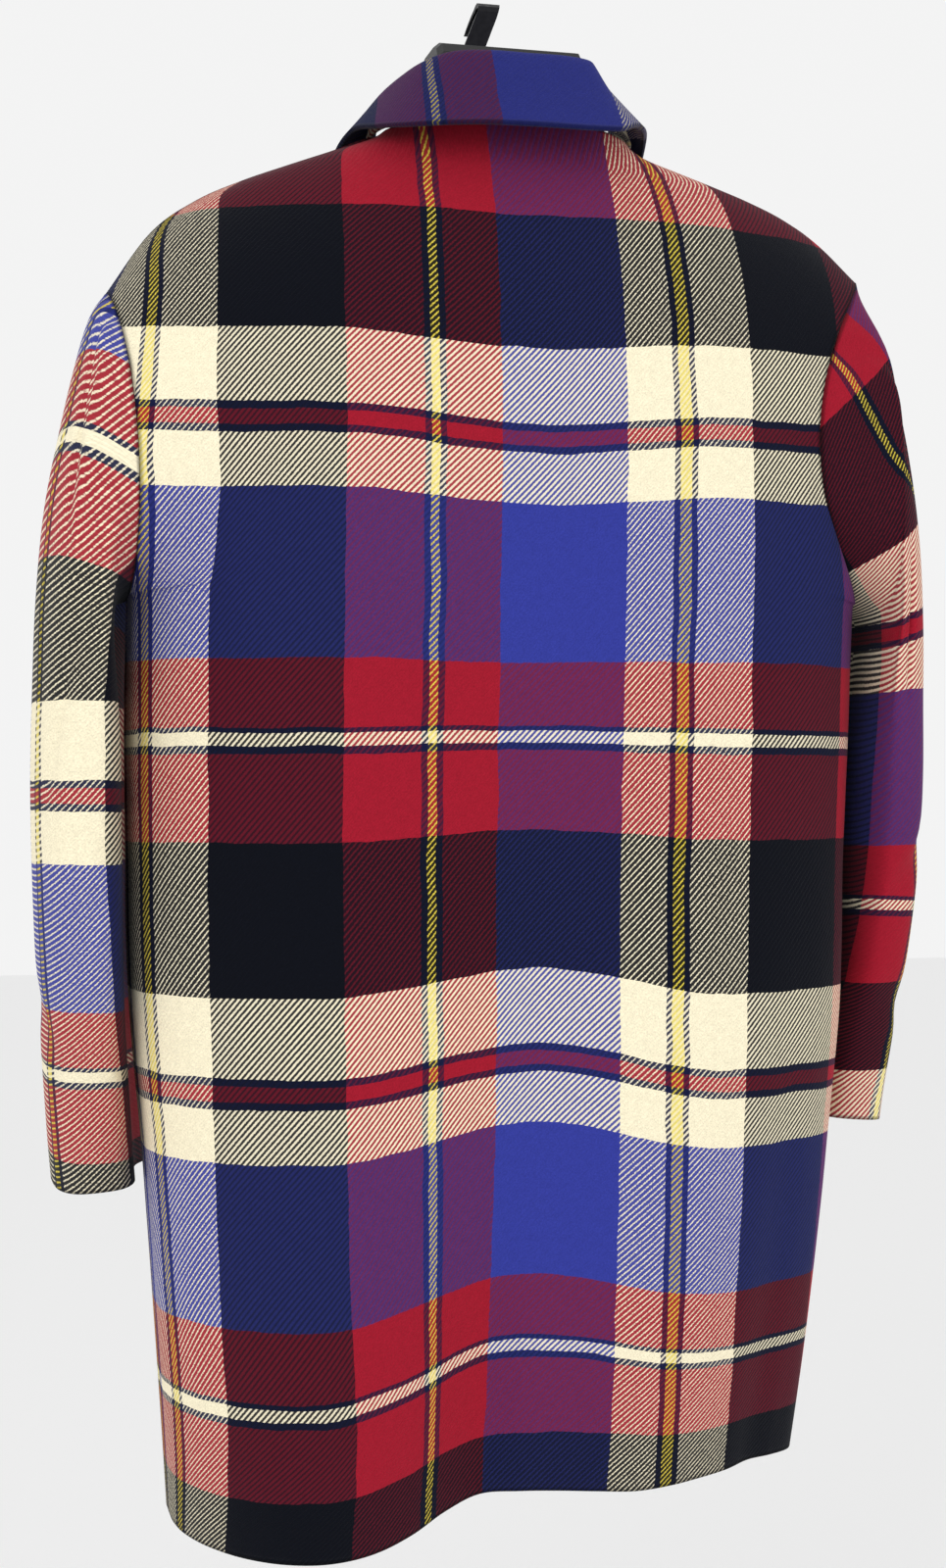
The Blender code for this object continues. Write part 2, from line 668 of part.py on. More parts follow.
def make_loop(name, side, level, tree, finish):
    """A cord doubled into a loop: two strands from the patch that turn round under the toggle."""
    start = PATCH_NEAR - SEAM
    turn_x = LOOP_INNER + LOOP_HALF_GAP + CORD_RADIUS
    flat = [(start, LOOP_HALF_GAP), (start - 0.012, LOOP_HALF_GAP), (start - 0.024, LOOP_HALF_GAP)]
    for k in range(7):
        angle = math.pi / 2 + math.pi * k / 6
        flat.append((turn_x + LOOP_HALF_GAP * math.cos(angle), LOOP_HALF_GAP * math.sin(angle)))
    flat += [(start - 0.024, -LOOP_HALF_GAP), (start - 0.012, -LOOP_HALF_GAP), (start, -LOOP_HALF_GAP)]
    curve = bpy.data.curves.new(name, "CURVE")
    curve.dimensions = "3D"
    curve.bevel_depth = CORD_RADIUS
    curve.bevel_resolution = 2
    curve.use_fill_caps = True
    spline = curve.splines.new("POLY")
    spline.points.add(len(flat) - 1)
    for point, (x, z) in zip(spline.points, flat):
        under = [on_front(tree, side * (x + step), level + z)[0][1] for step in (-0.011, 0, 0.011)]
        point.co = (side * x, max(under) + CORD_RADIUS + 0.0006, level + z, 1)
    curve.materials.append(finish)
    made = bpy.data.objects.new(name, curve)
    bpy.context.collection.objects.link(made)
    return made


def make_toggle(name, level, tree, finish):
    """A turned toggle with a waist, upright on top of the two loops."""
    place, _ = on_front(tree, 0, level)
    y = place[1] + 2 * CORD_RADIUS + TOGGLE_WAIST - TOGGLE_SINK
    sections = []
    for share in (-1, -0.94, -0.75, -0.45, -0.2, 0, 0.2, 0.45, 0.75, 0.94, 1):
        tip = math.sqrt(max(1 - abs(share) ** 5, 0.06))
        waist = TOGGLE_WAIST + (TOGGLE_RADIUS - TOGGLE_WAIST) * ease(abs(share) / 0.4)
        radius = float(waist * tip)
        ring = [(radius * math.cos(a), y + radius * math.sin(a), level + share * TOGGLE_LONG / 2)
                for a in (2 * math.pi * k / 12 for k in range(12))]
        sections.append(ring)
    return loft(name, sections, finish)


wool = material("Napped wool twill", (0.28, 0.03, 0.05), 0.95)
plastic = material("Black moulded plastic", (0.01, 0.01, 0.012), 0.4)
steel = material("Blackened steel strip", (0.03, 0.03, 0.035), 0.35, 0.8)
wood = material("Dark polished wood", (0.12, 0.05, 0.02), 0.35)
cord = material("Black braided cord", (0.02, 0.02, 0.025), 0.8)
leather = material("Black leather", (0.015, 0.015, 0.02), 0.5)

make_back(wool)
left_front = make_front("front_left", -1, wool)
right_front = make_front("front_right", 1, wool)
for sleeve_name, pose in SLEEVE_POSE.items():
    make_sleeve(sleeve_name, pose, wool)
make_collar(wool)
make_hanger(plastic)
make_hook(steel)

bpy.context.view_layer.update()
front = surface_of((left_front, right_front))
for number, level in enumerate(TOGGLE_LEVELS, 1):
    for side_name, side in (("left", -1), ("right", 1)):
        make_patch(f"toggle_patch_{side_name}_{number}", side, level, front, leather)
        make_loop(f"toggle_loop_{side_name}_{number}", side, level, front, cord)
    make_toggle(f"toggle_{number}", level, front, wood)

# The coat hangs a little to one side of the hook, which is the origin
for thing in bpy.data.objects:
    thing.location.x = HOOK_ASIDE
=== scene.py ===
import math

import bpy
import numpy as np
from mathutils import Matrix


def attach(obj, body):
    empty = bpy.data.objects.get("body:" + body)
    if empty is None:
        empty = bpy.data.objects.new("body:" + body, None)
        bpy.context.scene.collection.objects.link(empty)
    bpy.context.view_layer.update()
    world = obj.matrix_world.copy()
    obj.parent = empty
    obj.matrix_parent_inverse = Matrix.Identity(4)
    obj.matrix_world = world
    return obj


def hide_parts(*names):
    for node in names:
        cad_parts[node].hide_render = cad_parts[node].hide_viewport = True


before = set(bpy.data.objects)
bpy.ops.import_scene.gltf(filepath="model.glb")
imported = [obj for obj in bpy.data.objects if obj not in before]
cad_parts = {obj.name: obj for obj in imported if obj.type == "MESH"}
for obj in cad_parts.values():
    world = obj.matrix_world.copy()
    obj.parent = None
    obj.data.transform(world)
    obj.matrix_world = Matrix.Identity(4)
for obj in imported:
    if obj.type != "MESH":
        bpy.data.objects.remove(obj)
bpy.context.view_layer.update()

# The back. On the real coat it is one panel of heavy wool cloth, cut on the straight grain from
# a large plaid and sewn to the fronts at the shoulders and sides. The cloth is woven as a two by
# two twill from dyed yarns, fulled until it is thick, and brushed, so its ribs are soft.

WALL = 0.0028
HOOK_ASIDE = 0.0095
ARM_ROWS = 10
BODY_ROWS = 14
HALF_COLUMNS = 11
NECK_COLUMNS = 5
FINE = 7


def table(names, *rows):
    """A short table as named columns, with its rows from the highest level or first station down."""
    return dict(zip(names.split(), np.array(rows, float).T))


# The neck seam, from the centre back to the centre front
NECK = table(
    "station x y z",
    (0.00, 0.000, -0.054, -0.084),
    (0.18, 0.044, -0.048, -0.084),
    (0.36, 0.073, -0.026, -0.085),
    (0.50, 0.083, 0.000, -0.086),
    (0.66, 0.078, 0.040, -0.101),
    (0.82, 0.050, 0.075, -0.122),
    (1.00, 0.000, 0.088, -0.134),
)
# By side: distance of the shoulder's end from the centre, its gentle fall, its rounding
SHOULDER = {-1: (0.249, 0.062, 0.044), 1: (0.238, 0.046, 0.028)}
SHOULDER_Y = 0.004
SHOULDER_SHARP = 6
UNDERARM_X = 0.235
UNDERARM_Y = 0.010
UNDERARM_Z = -0.378
ARMHOLE_DEPTH = 0.074
ARMHOLE_BOW = {("back", "left"): 0.006, ("back", "right"): 0.048,
               ("front", "left"): 0.030, ("front", "right"): 0.030}
# The centre lines above the underarm, then the rounds of the body below it
CENTRE = table(
    "level back front",
    (-0.084, -0.054, 0.070),
    (-0.134, -0.076, 0.088),
    (-0.180, -0.087, 0.100),
    (-0.250, -0.094, 0.107),
    (-0.310, -0.094, 0.111),
    (-0.378, -0.091, 0.114),
)
BODY = table(
    "level width depth centre square",
    (-0.378, 0.235, 0.1025, 0.0115, 2.5),
    (-0.450, 0.235, 0.106, 0.020, 2.6),
    (-0.550, 0.233, 0.108, 0.028, 2.7),
    (-0.600, 0.232, 0.109, 0.029, 2.8),
    (-0.650, 0.229, 0.109, 0.029, 2.8),
    (-0.700, 0.224, 0.108, 0.030, 2.8),
    (-0.750, 0.220, 0.106, 0.032, 2.8),
    (-0.800, 0.216, 0.104, 0.036, 2.8),
    (-0.850, 0.212, 0.102, 0.041, 2.8),
    (-0.950, 0.204, 0.099, 0.056, 2.8),
)
HEM = -0.925
# How far the cloth drops from the centre line to each side seam
DROP = table(
    "level left right",
    (-0.084, 0.000, 0.000),
    (-0.230, -0.010, -0.010),
    (-0.417, -0.002, -0.002),
    (-0.518, 0.008, 0.008),
    (-0.601, 0.016, 0.019),
    (-0.690, 0.021, 0.022),
    (-0.780, 0.025, 0.020),
    (-0.821, 0.032, 0.017),
    (-0.877, 0.032, 0.009),
    (-0.925, 0.027, 0.001),
)
DROP_REACH = 0.55
# The cloth is eased into the neck seam above this level, so its lines crowd there
EASED_LEVEL = -0.112
EASED_SHARE = 0.40
# Large folds: place and reach across the panel, height, and the levels where each grows
BACK_FOLDS = table(
    "place reach height start full",
    (-0.52, 0.34, 0.022, -0.50, -0.92),
    (-0.12, 0.13, -0.010, -0.62, -0.90),
    (0.28, 0.20, 0.009, -0.55, -0.92),
    (0.66, 0.16, -0.009, -0.50, -0.88),
)


def read(columns, name, key, at):
    """A column's value at a place along the key column, eased smoothly between the rows."""
    keys, values = columns[key], columns[name]
    if keys[0] > keys[-1]:
        keys, values = keys[::-1], values[::-1]
    slopes = np.gradient(values, keys)
    at = np.clip(np.asarray(at, float), keys[0], keys[-1])
    i = np.clip(np.searchsorted(keys, at) - 1, 0, len(keys) - 2)
    step = keys[i + 1] - keys[i]
    f = (at - keys[i]) / step
    start = values[i] + f * f * (3 - 2 * f) * (values[i + 1] - values[i])
    return start + step * f * (1 - f) * ((1 - f) * slopes[i] - f * slopes[i + 1])


def ease(value):
    value = np.clip(value, 0, 1)
    return value * value * (3 - 2 * value)


def unit(vectors):
    return vectors / np.linalg.norm(vectors, axis=-1, keepdims=True)


def grid_normals(grid, ring=False):
    """Normals of a grid of points, by the cross product of its row and column directions."""
    if ring:
        around = np.roll(grid, -1, axis=1) - np.roll(grid, 1, axis=1)
    else:
        around = np.gradient(grid, axis=1)
    return unit(np.cross(around, np.gradient(grid, axis=0)))


def evenly(points, count):
    """The same line again, with its points at equal distances."""
    lengths = np.concatenate([[0], np.cumsum(np.linalg.norm(np.diff(points, axis=0), axis=1))])
    at = np.linspace(0, lengths[-1], count)
    return np.stack([np.interp(at, lengths, points[:, k]) for k in range(3)], axis=1)


def shoulder_height(x, side):
    """Height of one shoulder seam's line at a distance from the centre."""
    neck_x, neck_z = NECK["x"][3], NECK["z"][3]
    end_x, fall, rounding = SHOULDER[side]
    share = np.clip((np.abs(x) - neck_x) / (end_x - neck_x), 0, 1)
    return neck_z - fall * share - rounding * share**SHOULDER_SHARP


def shoulder_normal(x, side):
    """The direction out of the cloth that the back and the front share at the shoulder seam."""
    near = max(abs(x) - 0.002, NECK["x"][3])
    far = min(abs(x) + 0.002, SHOULDER[side][0])
    rise = (shoulder_height(near, side) - shoulder_height(far, side)) / (far - near)
    return unit(np.array([side * float(rise), 0, 1.0]))


def armhole(angle, face, side):
    """A point of the armhole's edge: angle 0 at the shoulder, pi at the underarm."""
    down = (1 - math.cos(angle)) / 2
    top_x = SHOULDER[side][0]
    top_z = float(shoulder_height(top_x, side))
    bow = ARMHOLE_BOW["back" if face < 0 else "front", "left" if side < 0 else "right"]
    x = top_x + (UNDERARM_X - top_x) * down - bow * math.sin(angle) ** 2
    y = SHOULDER_Y + (UNDERARM_Y - SHOULDER_Y) * down + face * ARMHOLE_DEPTH * math.sin(angle)
    return np.array([side * x, y, top_z + (UNDERARM_Z - top_z) * down])


def armhole_normal(angle, face, side):
    """The direction out of the cloth that the panels and the sleeve share at the armhole."""
    up = math.cos(angle)
    out = 0.15 + 0.45 * max(up, 0) ** 2 + 0.20 * max(-up, 0) ** 2
    return unit(np.array([side * out, face * math.sin(angle), 0.75 * up]))


def top_edge(face, side):
    """Neck seam and then shoulder seam of one half panel, from the centre outwards."""
    station = np.linspace(0.0 if face < 0 else 1.0, 0.5, NECK_COLUMNS + 1)
    neck = np.stack([read(NECK, axis, "station", station) for axis in "xyz"], axis=1)
    share = np.linspace(0, 1, HALF_COLUMNS - NECK_COLUMNS + 1)[1:]
    x = neck[-1][0] + (SHOULDER[side][0] - neck[-1][0]) * share
    y = neck[-1][1] + (SHOULDER_Y - neck[-1][1]) * share
    points = np.concatenate([neck, np.stack([x, y, shoulder_height(x, side)], axis=1)])
    points[:, 0] *= side
    return points


def half_row(centre, edge, turn, square, reach, late):
    """One line of a half panel, turning squarely to the side and dropping to its edge on the way."""
    angle = np.linspace(0, turn * math.pi / 2, 120)
    across = np.sin(angle) ** (2 / square)
    deep = np.cos(angle) ** (2 / square)
    x = edge[0] * across / across[-1]
    y = edge[1] + (centre[1] - edge[1]) * (deep - deep[-1]) / (1 - deep[-1])
    share = ease(np.abs(across / across[-1]) / reach) ** late
    z = centre[2] + (edge[2] - centre[2]) * share
    return evenly(np.stack([x, y, z], axis=1), HALF_COLUMNS + 1)


def half_panel(face, side):
    """Outer points of one half of the back or of one front, from the neck down to the hem."""
    name = "left" if side < 0 else "right"
    line = "back" if face < 0 else "front"
    first = float(NECK["z"][0] if face < 0 else NECK["z"][-1])
    rows = [top_edge(face, side)]
    blend_rows = 6
    tie = np.linspace(0, 1, HALF_COLUMNS + 1)[:, None]
    for i in range(1, ARM_ROWS + 1):
        level = first + (UNDERARM_Z - first) * i / ARM_ROWS
        centre = np.array([0, float(read(CENTRE, line, "level", level)), level])
        edge = armhole(math.pi * i / ARM_ROWS, face, side)
        turned = half_row(centre, edge, turn=0.66, square=2.4, reach=1.0, late=3)
        underarm = np.array([side * UNDERARM_X, UNDERARM_Y, edge[2]])
        whole = half_row(centre, underarm, turn=1.0, square=2.5, reach=1.0, late=3)
        whole += tie**7 * (edge - whole[-1])
        rows.append(turned + (whole - turned) * ease((i - 3) / (ARM_ROWS - 3)))
    # The rows above that one sweep from the top edge over the shoulder, and are smoothed
    full = rows[blend_rows].copy()
    top = rows[0]
    lean = 0.25 + 0.6 * ease(np.linspace(0, 1, HALF_COLUMNS + 1) / 0.5)
    for i in range(1, blend_rows):
        q = i / blend_rows
        sideways = math.sin(q * math.pi / 2)
        down = (1 - lean) * q + lean * (1 - math.cos(q * math.pi / 2))
        row = np.empty_like(full)
        row[:, 0] = top[:, 0] + (full[:, 0] - top[:, 0]) * q
        row[:, 1] = top[:, 1] + (full[:, 1] - top[:, 1]) * sideways
        row[:, 2] = top[:, 2] + (full[:, 2] - top[:, 2]) * down
        for _ in range(2 * i):
            row[1:-1] = (row[:-2] + 2 * row[1:-1] + row[2:]) / 4
        rows[i] = row + tie**3 * (rows[i][-1] - row[-1])
    # Below the underarm the body is a squared round that narrows and sways
    for i in range(1, BODY_ROWS + 1):
        level = UNDERARM_Z + (HEM - UNDERARM_Z) * i / BODY_ROWS
        drop = float(read(DROP, name, "level", level)) * ease(i / 3)
        low = level - drop
        width, side_y = (float(read(BODY, key, "level", low)) for key in ("width", "centre"))
        middle, depth, square = (float(read(BODY, key, "level", level))
                                 for key in ("centre", "depth", "square"))
        centre = np.array([0, middle + face * depth, level])
        edge = np.array([side * width, side_y, low])
        rows.append(half_row(centre, edge, turn=1.0, square=square, reach=DROP_REACH, late=1))
    return np.array(rows)


def folded(grid, normals, folds, half_width_share):
    """The grid with its large folds raised out of the cloth or pressed into it."""
    offset = np.zeros(grid.shape[:2])
    for place, reach, height, start, full in zip(*folds.values()):
        bell = np.exp(-(((half_width_share - place) / reach) ** 2) * 2)
        offset += height * bell * ease((start - grid[:, :, 2]) / (start - full))
    return grid + offset[:, :, None] * normals


def edge_fixed_normals(grid, face, sides):
    """Grid normals, with those of the shoulder, armhole and side seams shared by both pieces."""
    normals = grid_normals(grid)
    if np.sum(normals[ARM_ROWS][:, 1]) * face < 0:
        normals = -normals
    for side, last in sides:
        for j in range(grid.shape[1]):
            if grid[0][j][0] * side > NECK["x"][3] - 0.001:
                normals[0][j] = shoulder_normal(grid[0][j][0], side)
        for i in range(ARM_ROWS + 1):
            normals[i][last] = armhole_normal(math.pi * i / ARM_ROWS, face, side)
        for i in range(ARM_ROWS + 1, grid.shape[0]):
            normals[i][last] = (side, 0, 0)
    return normals


def finer(grid, axis, closed=False):
    """The grid with FINE times as many steps along one axis, on a smooth curve through its points."""
    points = np.moveaxis(grid, axis, 0)
    if closed:
        points = np.concatenate([points, points[:1]])
        slopes = (np.roll(points[:-1], -1, axis=0) - np.roll(points[:-1], 1, axis=0)) / 2
        slopes = np.concatenate([slopes, slopes[:1]])
    else:
        slopes = np.gradient(points, axis=0)
    share = (np.arange(FINE) / FINE).reshape((1, FINE) + (1,) * (points.ndim - 1))
    start, end = points[:-1, None], points[1:, None]
    first, last = slopes[:-1, None], slopes[1:, None]
    line = (start * (1 + 2 * share) * (1 - share) ** 2 + end * share**2 * (3 - 2 * share)
            + first * share * (1 - share) ** 2 - last * share**2 * (1 - share))
    line = line.reshape((-1,) + points.shape[1:])
    return np.moveaxis(line if closed else np.concatenate([line, points[-1:]]), 0, axis)


def run_lengths(grid, axis):
    """Distance along one axis of the grid from its first line, in metres of cloth."""
    steps = np.linalg.norm(np.diff(grid, axis=axis), axis=2)
    lengths = np.cumsum(steps, axis=axis)
    pad = [(0, 0), (0, 0)]
    pad[axis] = (1, 0)
    return np.pad(lengths, pad)


def weft_level(grid):
    """Distance down the cloth of each point, as its weft yarns run: the level at the centre line."""
    level = grid[:, :, 2].copy()
    share = ease(np.abs(grid[:, :, 0]) / UNDERARM_X / DROP_REACH)
    for _ in range(3):
        left, right = (read(DROP, name, "level", level) for name in ("left", "right"))
        level = grid[:, :, 2] + np.where(grid[:, :, 0] < 0, left, right) * share
    return -np.where(level > EASED_LEVEL, EASED_LEVEL + (level - EASED_LEVEL) * EASED_SHARE, level)


def creased(grid, normals, across, down, creases):
    """The grid with soft creases: each runs between two places in the cloth, with a half width."""
    offset = np.zeros(grid.shape[:2])
    for x1, z1, x2, z2, reach, height in creases:
        length = math.hypot(x2 - x1, z2 - z1)
        along = ((across - x1) * (x2 - x1) + (down - z1) * (z2 - z1)) / length**2
        aside = ((across - x1) * (z2 - z1) - (down - z1) * (x2 - x1)) / length
        held = np.clip(along, 0, 1)
        taper = 0.25 + 0.75 * np.sin(math.pi * held) ** 0.7
        past = (along - held) * length
        offset += height * taper * np.exp(-(aside**2 + past**2) / reach**2)
    return grid + offset[:, :, None] * normals


def link_object(name, points, faces, corner_maps, finish):
    """One mesh object, smooth, with its cloth distances in UV maps, moved to the hook's frame."""
    mesh = bpy.data.meshes.new(name)
    points = points + np.array([HOOK_ASIDE, 0, 0])
    mesh.from_pydata(points.tolist(), [], faces.tolist())
    for map_name, values in corner_maps.items():
        mesh.uv_layers.new(name=map_name).data.foreach_set("uv", values.astype(np.float32).ravel())
    mesh.shade_smooth()
    mesh.materials.append(finish)
    made = bpy.data.objects.new(name, mesh)
    bpy.context.collection.objects.link(made)
    return made


def cloth_piece(name, grid, normals, u, v, finish, ring=False, ribs=None):
    """A closed thin shell of cloth, mapped by its distances across and down, for its ribs too."""
    rows, columns = grid.shape[:2]
    spans = columns if ring else columns - 1
    inner = grid - WALL * normals
    i, j = np.meshgrid(np.arange(rows - 1), np.arange(spans), indexing="ij")
    k = (j + 1) % columns
    outer_faces = np.stack([i * columns + j, i * columns + k, (i + 1) * columns + k,
                            (i + 1) * columns + j], axis=-1).reshape(-1, 4)
    total = rows * columns
    faces = [outer_faces, outer_faces[:, ::-1] + total]
    corner = np.stack([np.stack([i, j]), np.stack([i, j + 1]), np.stack([i + 1, j + 1]),
                       np.stack([i + 1, j])]).transpose(2, 3, 0, 1).reshape(-1, 4, 2)
    corners = [corner, corner[:, ::-1]]
    borders = [([(0, n) for n in range(columns)], -1), ([(rows - 1, n) for n in range(columns)], 1)]
    if not ring:
        borders += [([(n, 0) for n in range(rows)], 1),
                    ([(n, columns - 1) for n in range(rows)], -1)]
    for places, turn in borders:
        places = np.array(places)
        if ring:
            places = np.concatenate([places, places[:1]])
        flat = places[:, 0] * columns + places[:, 1]
        n = np.arange(len(flat) - 1)
        rim = np.stack([flat[n], flat[n + 1], flat[n + 1] + total, flat[n] + total], axis=1)
        if ring:
            places[-1][1] = columns
        rim_corners = np.stack([places[n], places[n + 1], places[n + 1], places[n]], axis=1)
        faces.append(rim[:, ::turn])
        corners.append(rim_corners[:, ::turn])
    # A sleeve has no seam along its sides that shows, so only its ends count as edges
    long = run_lengths(grid, 0)
    edge_v = np.minimum(long, long[-1:] - long)
    if ring:
        edge_u = np.ones_like(u)
        edge_v = np.concatenate([edge_v, edge_v[:, :1]], axis=1)
    else:
        wide = run_lengths(grid, 1)
        edge_u = np.minimum(wide, wide[:, -1:] - wide)
    corners = np.concatenate(corners)
    maps = {
        map_name: np.stack([values[corners[..., 0], corners[..., 1]] for values in pair], axis=-1)
        for map_name, pair in (("cloth", (u, v)), ("edge", (edge_u, edge_v)), ("ribs", ribs or (u, v)))
    }
    points = np.concatenate([grid.reshape(-1, 3), inner.reshape(-1, 3)])
    return link_object(name, points, np.concatenate(faces), maps, finish)


def linear(code):
    """A colour written as sRGB hex, in the linear values that shaders take."""
    values = np.array([int(code[k:k + 2], 16) for k in (1, 3, 5)]) / 255
    bright = ((values + 0.055) / 1.055) ** 2.4
    return tuple(np.where(values > 0.04045, bright, values / 12.92)) + (1,)


def add(tree, kind, inputs=None, **settings):
    """One shader node with its settings; inputs give a value or another node's output by socket."""
    made = tree.nodes.new(kind)
    for key, value in settings.items():
        setattr(made, key, value)
    for socket, value in (inputs or {}).items():
        if isinstance(value, bpy.types.NodeSocket):
            tree.links.new(value, made.inputs[socket])
        else:
            made.inputs[socket].default_value = value
    return made


def worked(tree, operation, *values):
    """The result of one sum with numbers or other nodes' outputs."""
    return add(tree, "ShaderNodeMath", dict(enumerate(values)), operation=operation).outputs[0]


def ranged(tree, value, old, new, kind="LINEAR"):
    """A value moved from one range to another and held inside it."""
    limits = {0: value, 1: old[0], 2: old[1], 3: new[0], 4: new[1]}
    return add(tree, "ShaderNodeMapRange", limits, interpolation_type=kind).outputs[0]


def noise(tree, place, scale, detail, roughness=0.5):
    """Soft random spots, so many to the metre."""
    return add(tree, "ShaderNodeTexNoise", {"Vector": place, "Scale": scale, "Detail": detail,
                                            "Roughness": roughness}).outputs


def raised(tree, shader, height, strength, distance):
    """The shader's surface raised by a height, over a distance in metres."""
    bump = add(tree, "ShaderNodeBump", {"Strength": strength, "Distance": distance, "Height": height})
    tree.links.new(bump.outputs[0], shader.inputs["Normal"])
    return bump


def surface(name):
    """A new material, with its node tree and its shader."""
    made = bpy.data.materials.new(name)
    made.use_nodes = True
    return made, made.node_tree, made.node_tree.nodes["Principled BSDF"]


def mixed(tree, share, one, other):
    """The colour between one and the other, by a share from 0 to 1."""
    made = add(tree, "ShaderNodeMix", data_type="RGBA")
    colours = [s for s in made.inputs if s.type == "RGBA"]
    tree.links.new(share, made.inputs[0])
    for socket, colour in zip(colours, (one, other)):
        if isinstance(colour, bpy.types.NodeSocket):
            tree.links.new(colour, socket)
        else:
            socket.default_value = colour
    return next(s for s in made.outputs if s.type == "RGBA")


# The plaid, in metres of cloth: yarn colours and band widths, first across, then down
YARN = {"black": "#070A14", "navy": "#12183C", "blue": "#343C9A", "red": "#A0182C",
        "cream": "#FBF1D2", "yellow": "#E6D04E"}
# Weft yarns show more than warp ones. Fulling lets the two blur into a darker blend, least
# where one is pale, so there the ribs stay clear
WEFT_SHARE = 0.58
PALE_SINKS = 0.40
WARP_BANDS = (("black", 0.081), ("red", 0.0455), ("navy", 0.004), ("yellow", 0.005), ("navy", 0.004),
              ("red", 0.0335), ("blue", 0.079), ("cream", 0.0305), ("navy", 0.004), ("yellow", 0.0075),
              ("navy", 0.004), ("cream", 0.042))
WEFT_BANDS = (("black", 0.083), ("cream", 0.0445), ("navy", 0.004), ("red", 0.009), ("navy", 0.004),
              ("cream", 0.031), ("blue", 0.0935), ("red", 0.0375), ("navy", 0.0035), ("cream", 0.007),
              ("navy", 0.0035), ("red", 0.049))
# One rib's width along the weft, and how steeply the ribs rise
RIB = 0.0037
RIB_SLOPE = 1.05
# How far a yarn strays from its line, and spots to the metre of wandering, of tufts and of fibres
STRAY = 0.0050
WANDER = 24.0
TUFTS = 210.0
FIBRES = 950.0


def band_colour(tree, place, bands):
    """The yarn's colour at a distance along the cloth, in bands that repeat."""
    repeat = sum(width for _, width in bands)
    share = worked(tree, "FRACT", worked(tree, "DIVIDE", place, repeat))
    ramp = add(tree, "ShaderNodeValToRGB", {"Fac": share})
    ramp.color_ramp.interpolation = "CONSTANT"
    start = 0.0
    for n, (yarn, width) in enumerate(bands):
        if n < len(ramp.color_ramp.elements):
            stop = ramp.color_ramp.elements[n]
            stop.position = start
        else:
            stop = ramp.color_ramp.elements.new(start)
        stop.color = linear(YARN[yarn])
        start += width / repeat
    return ramp.outputs["Color"]


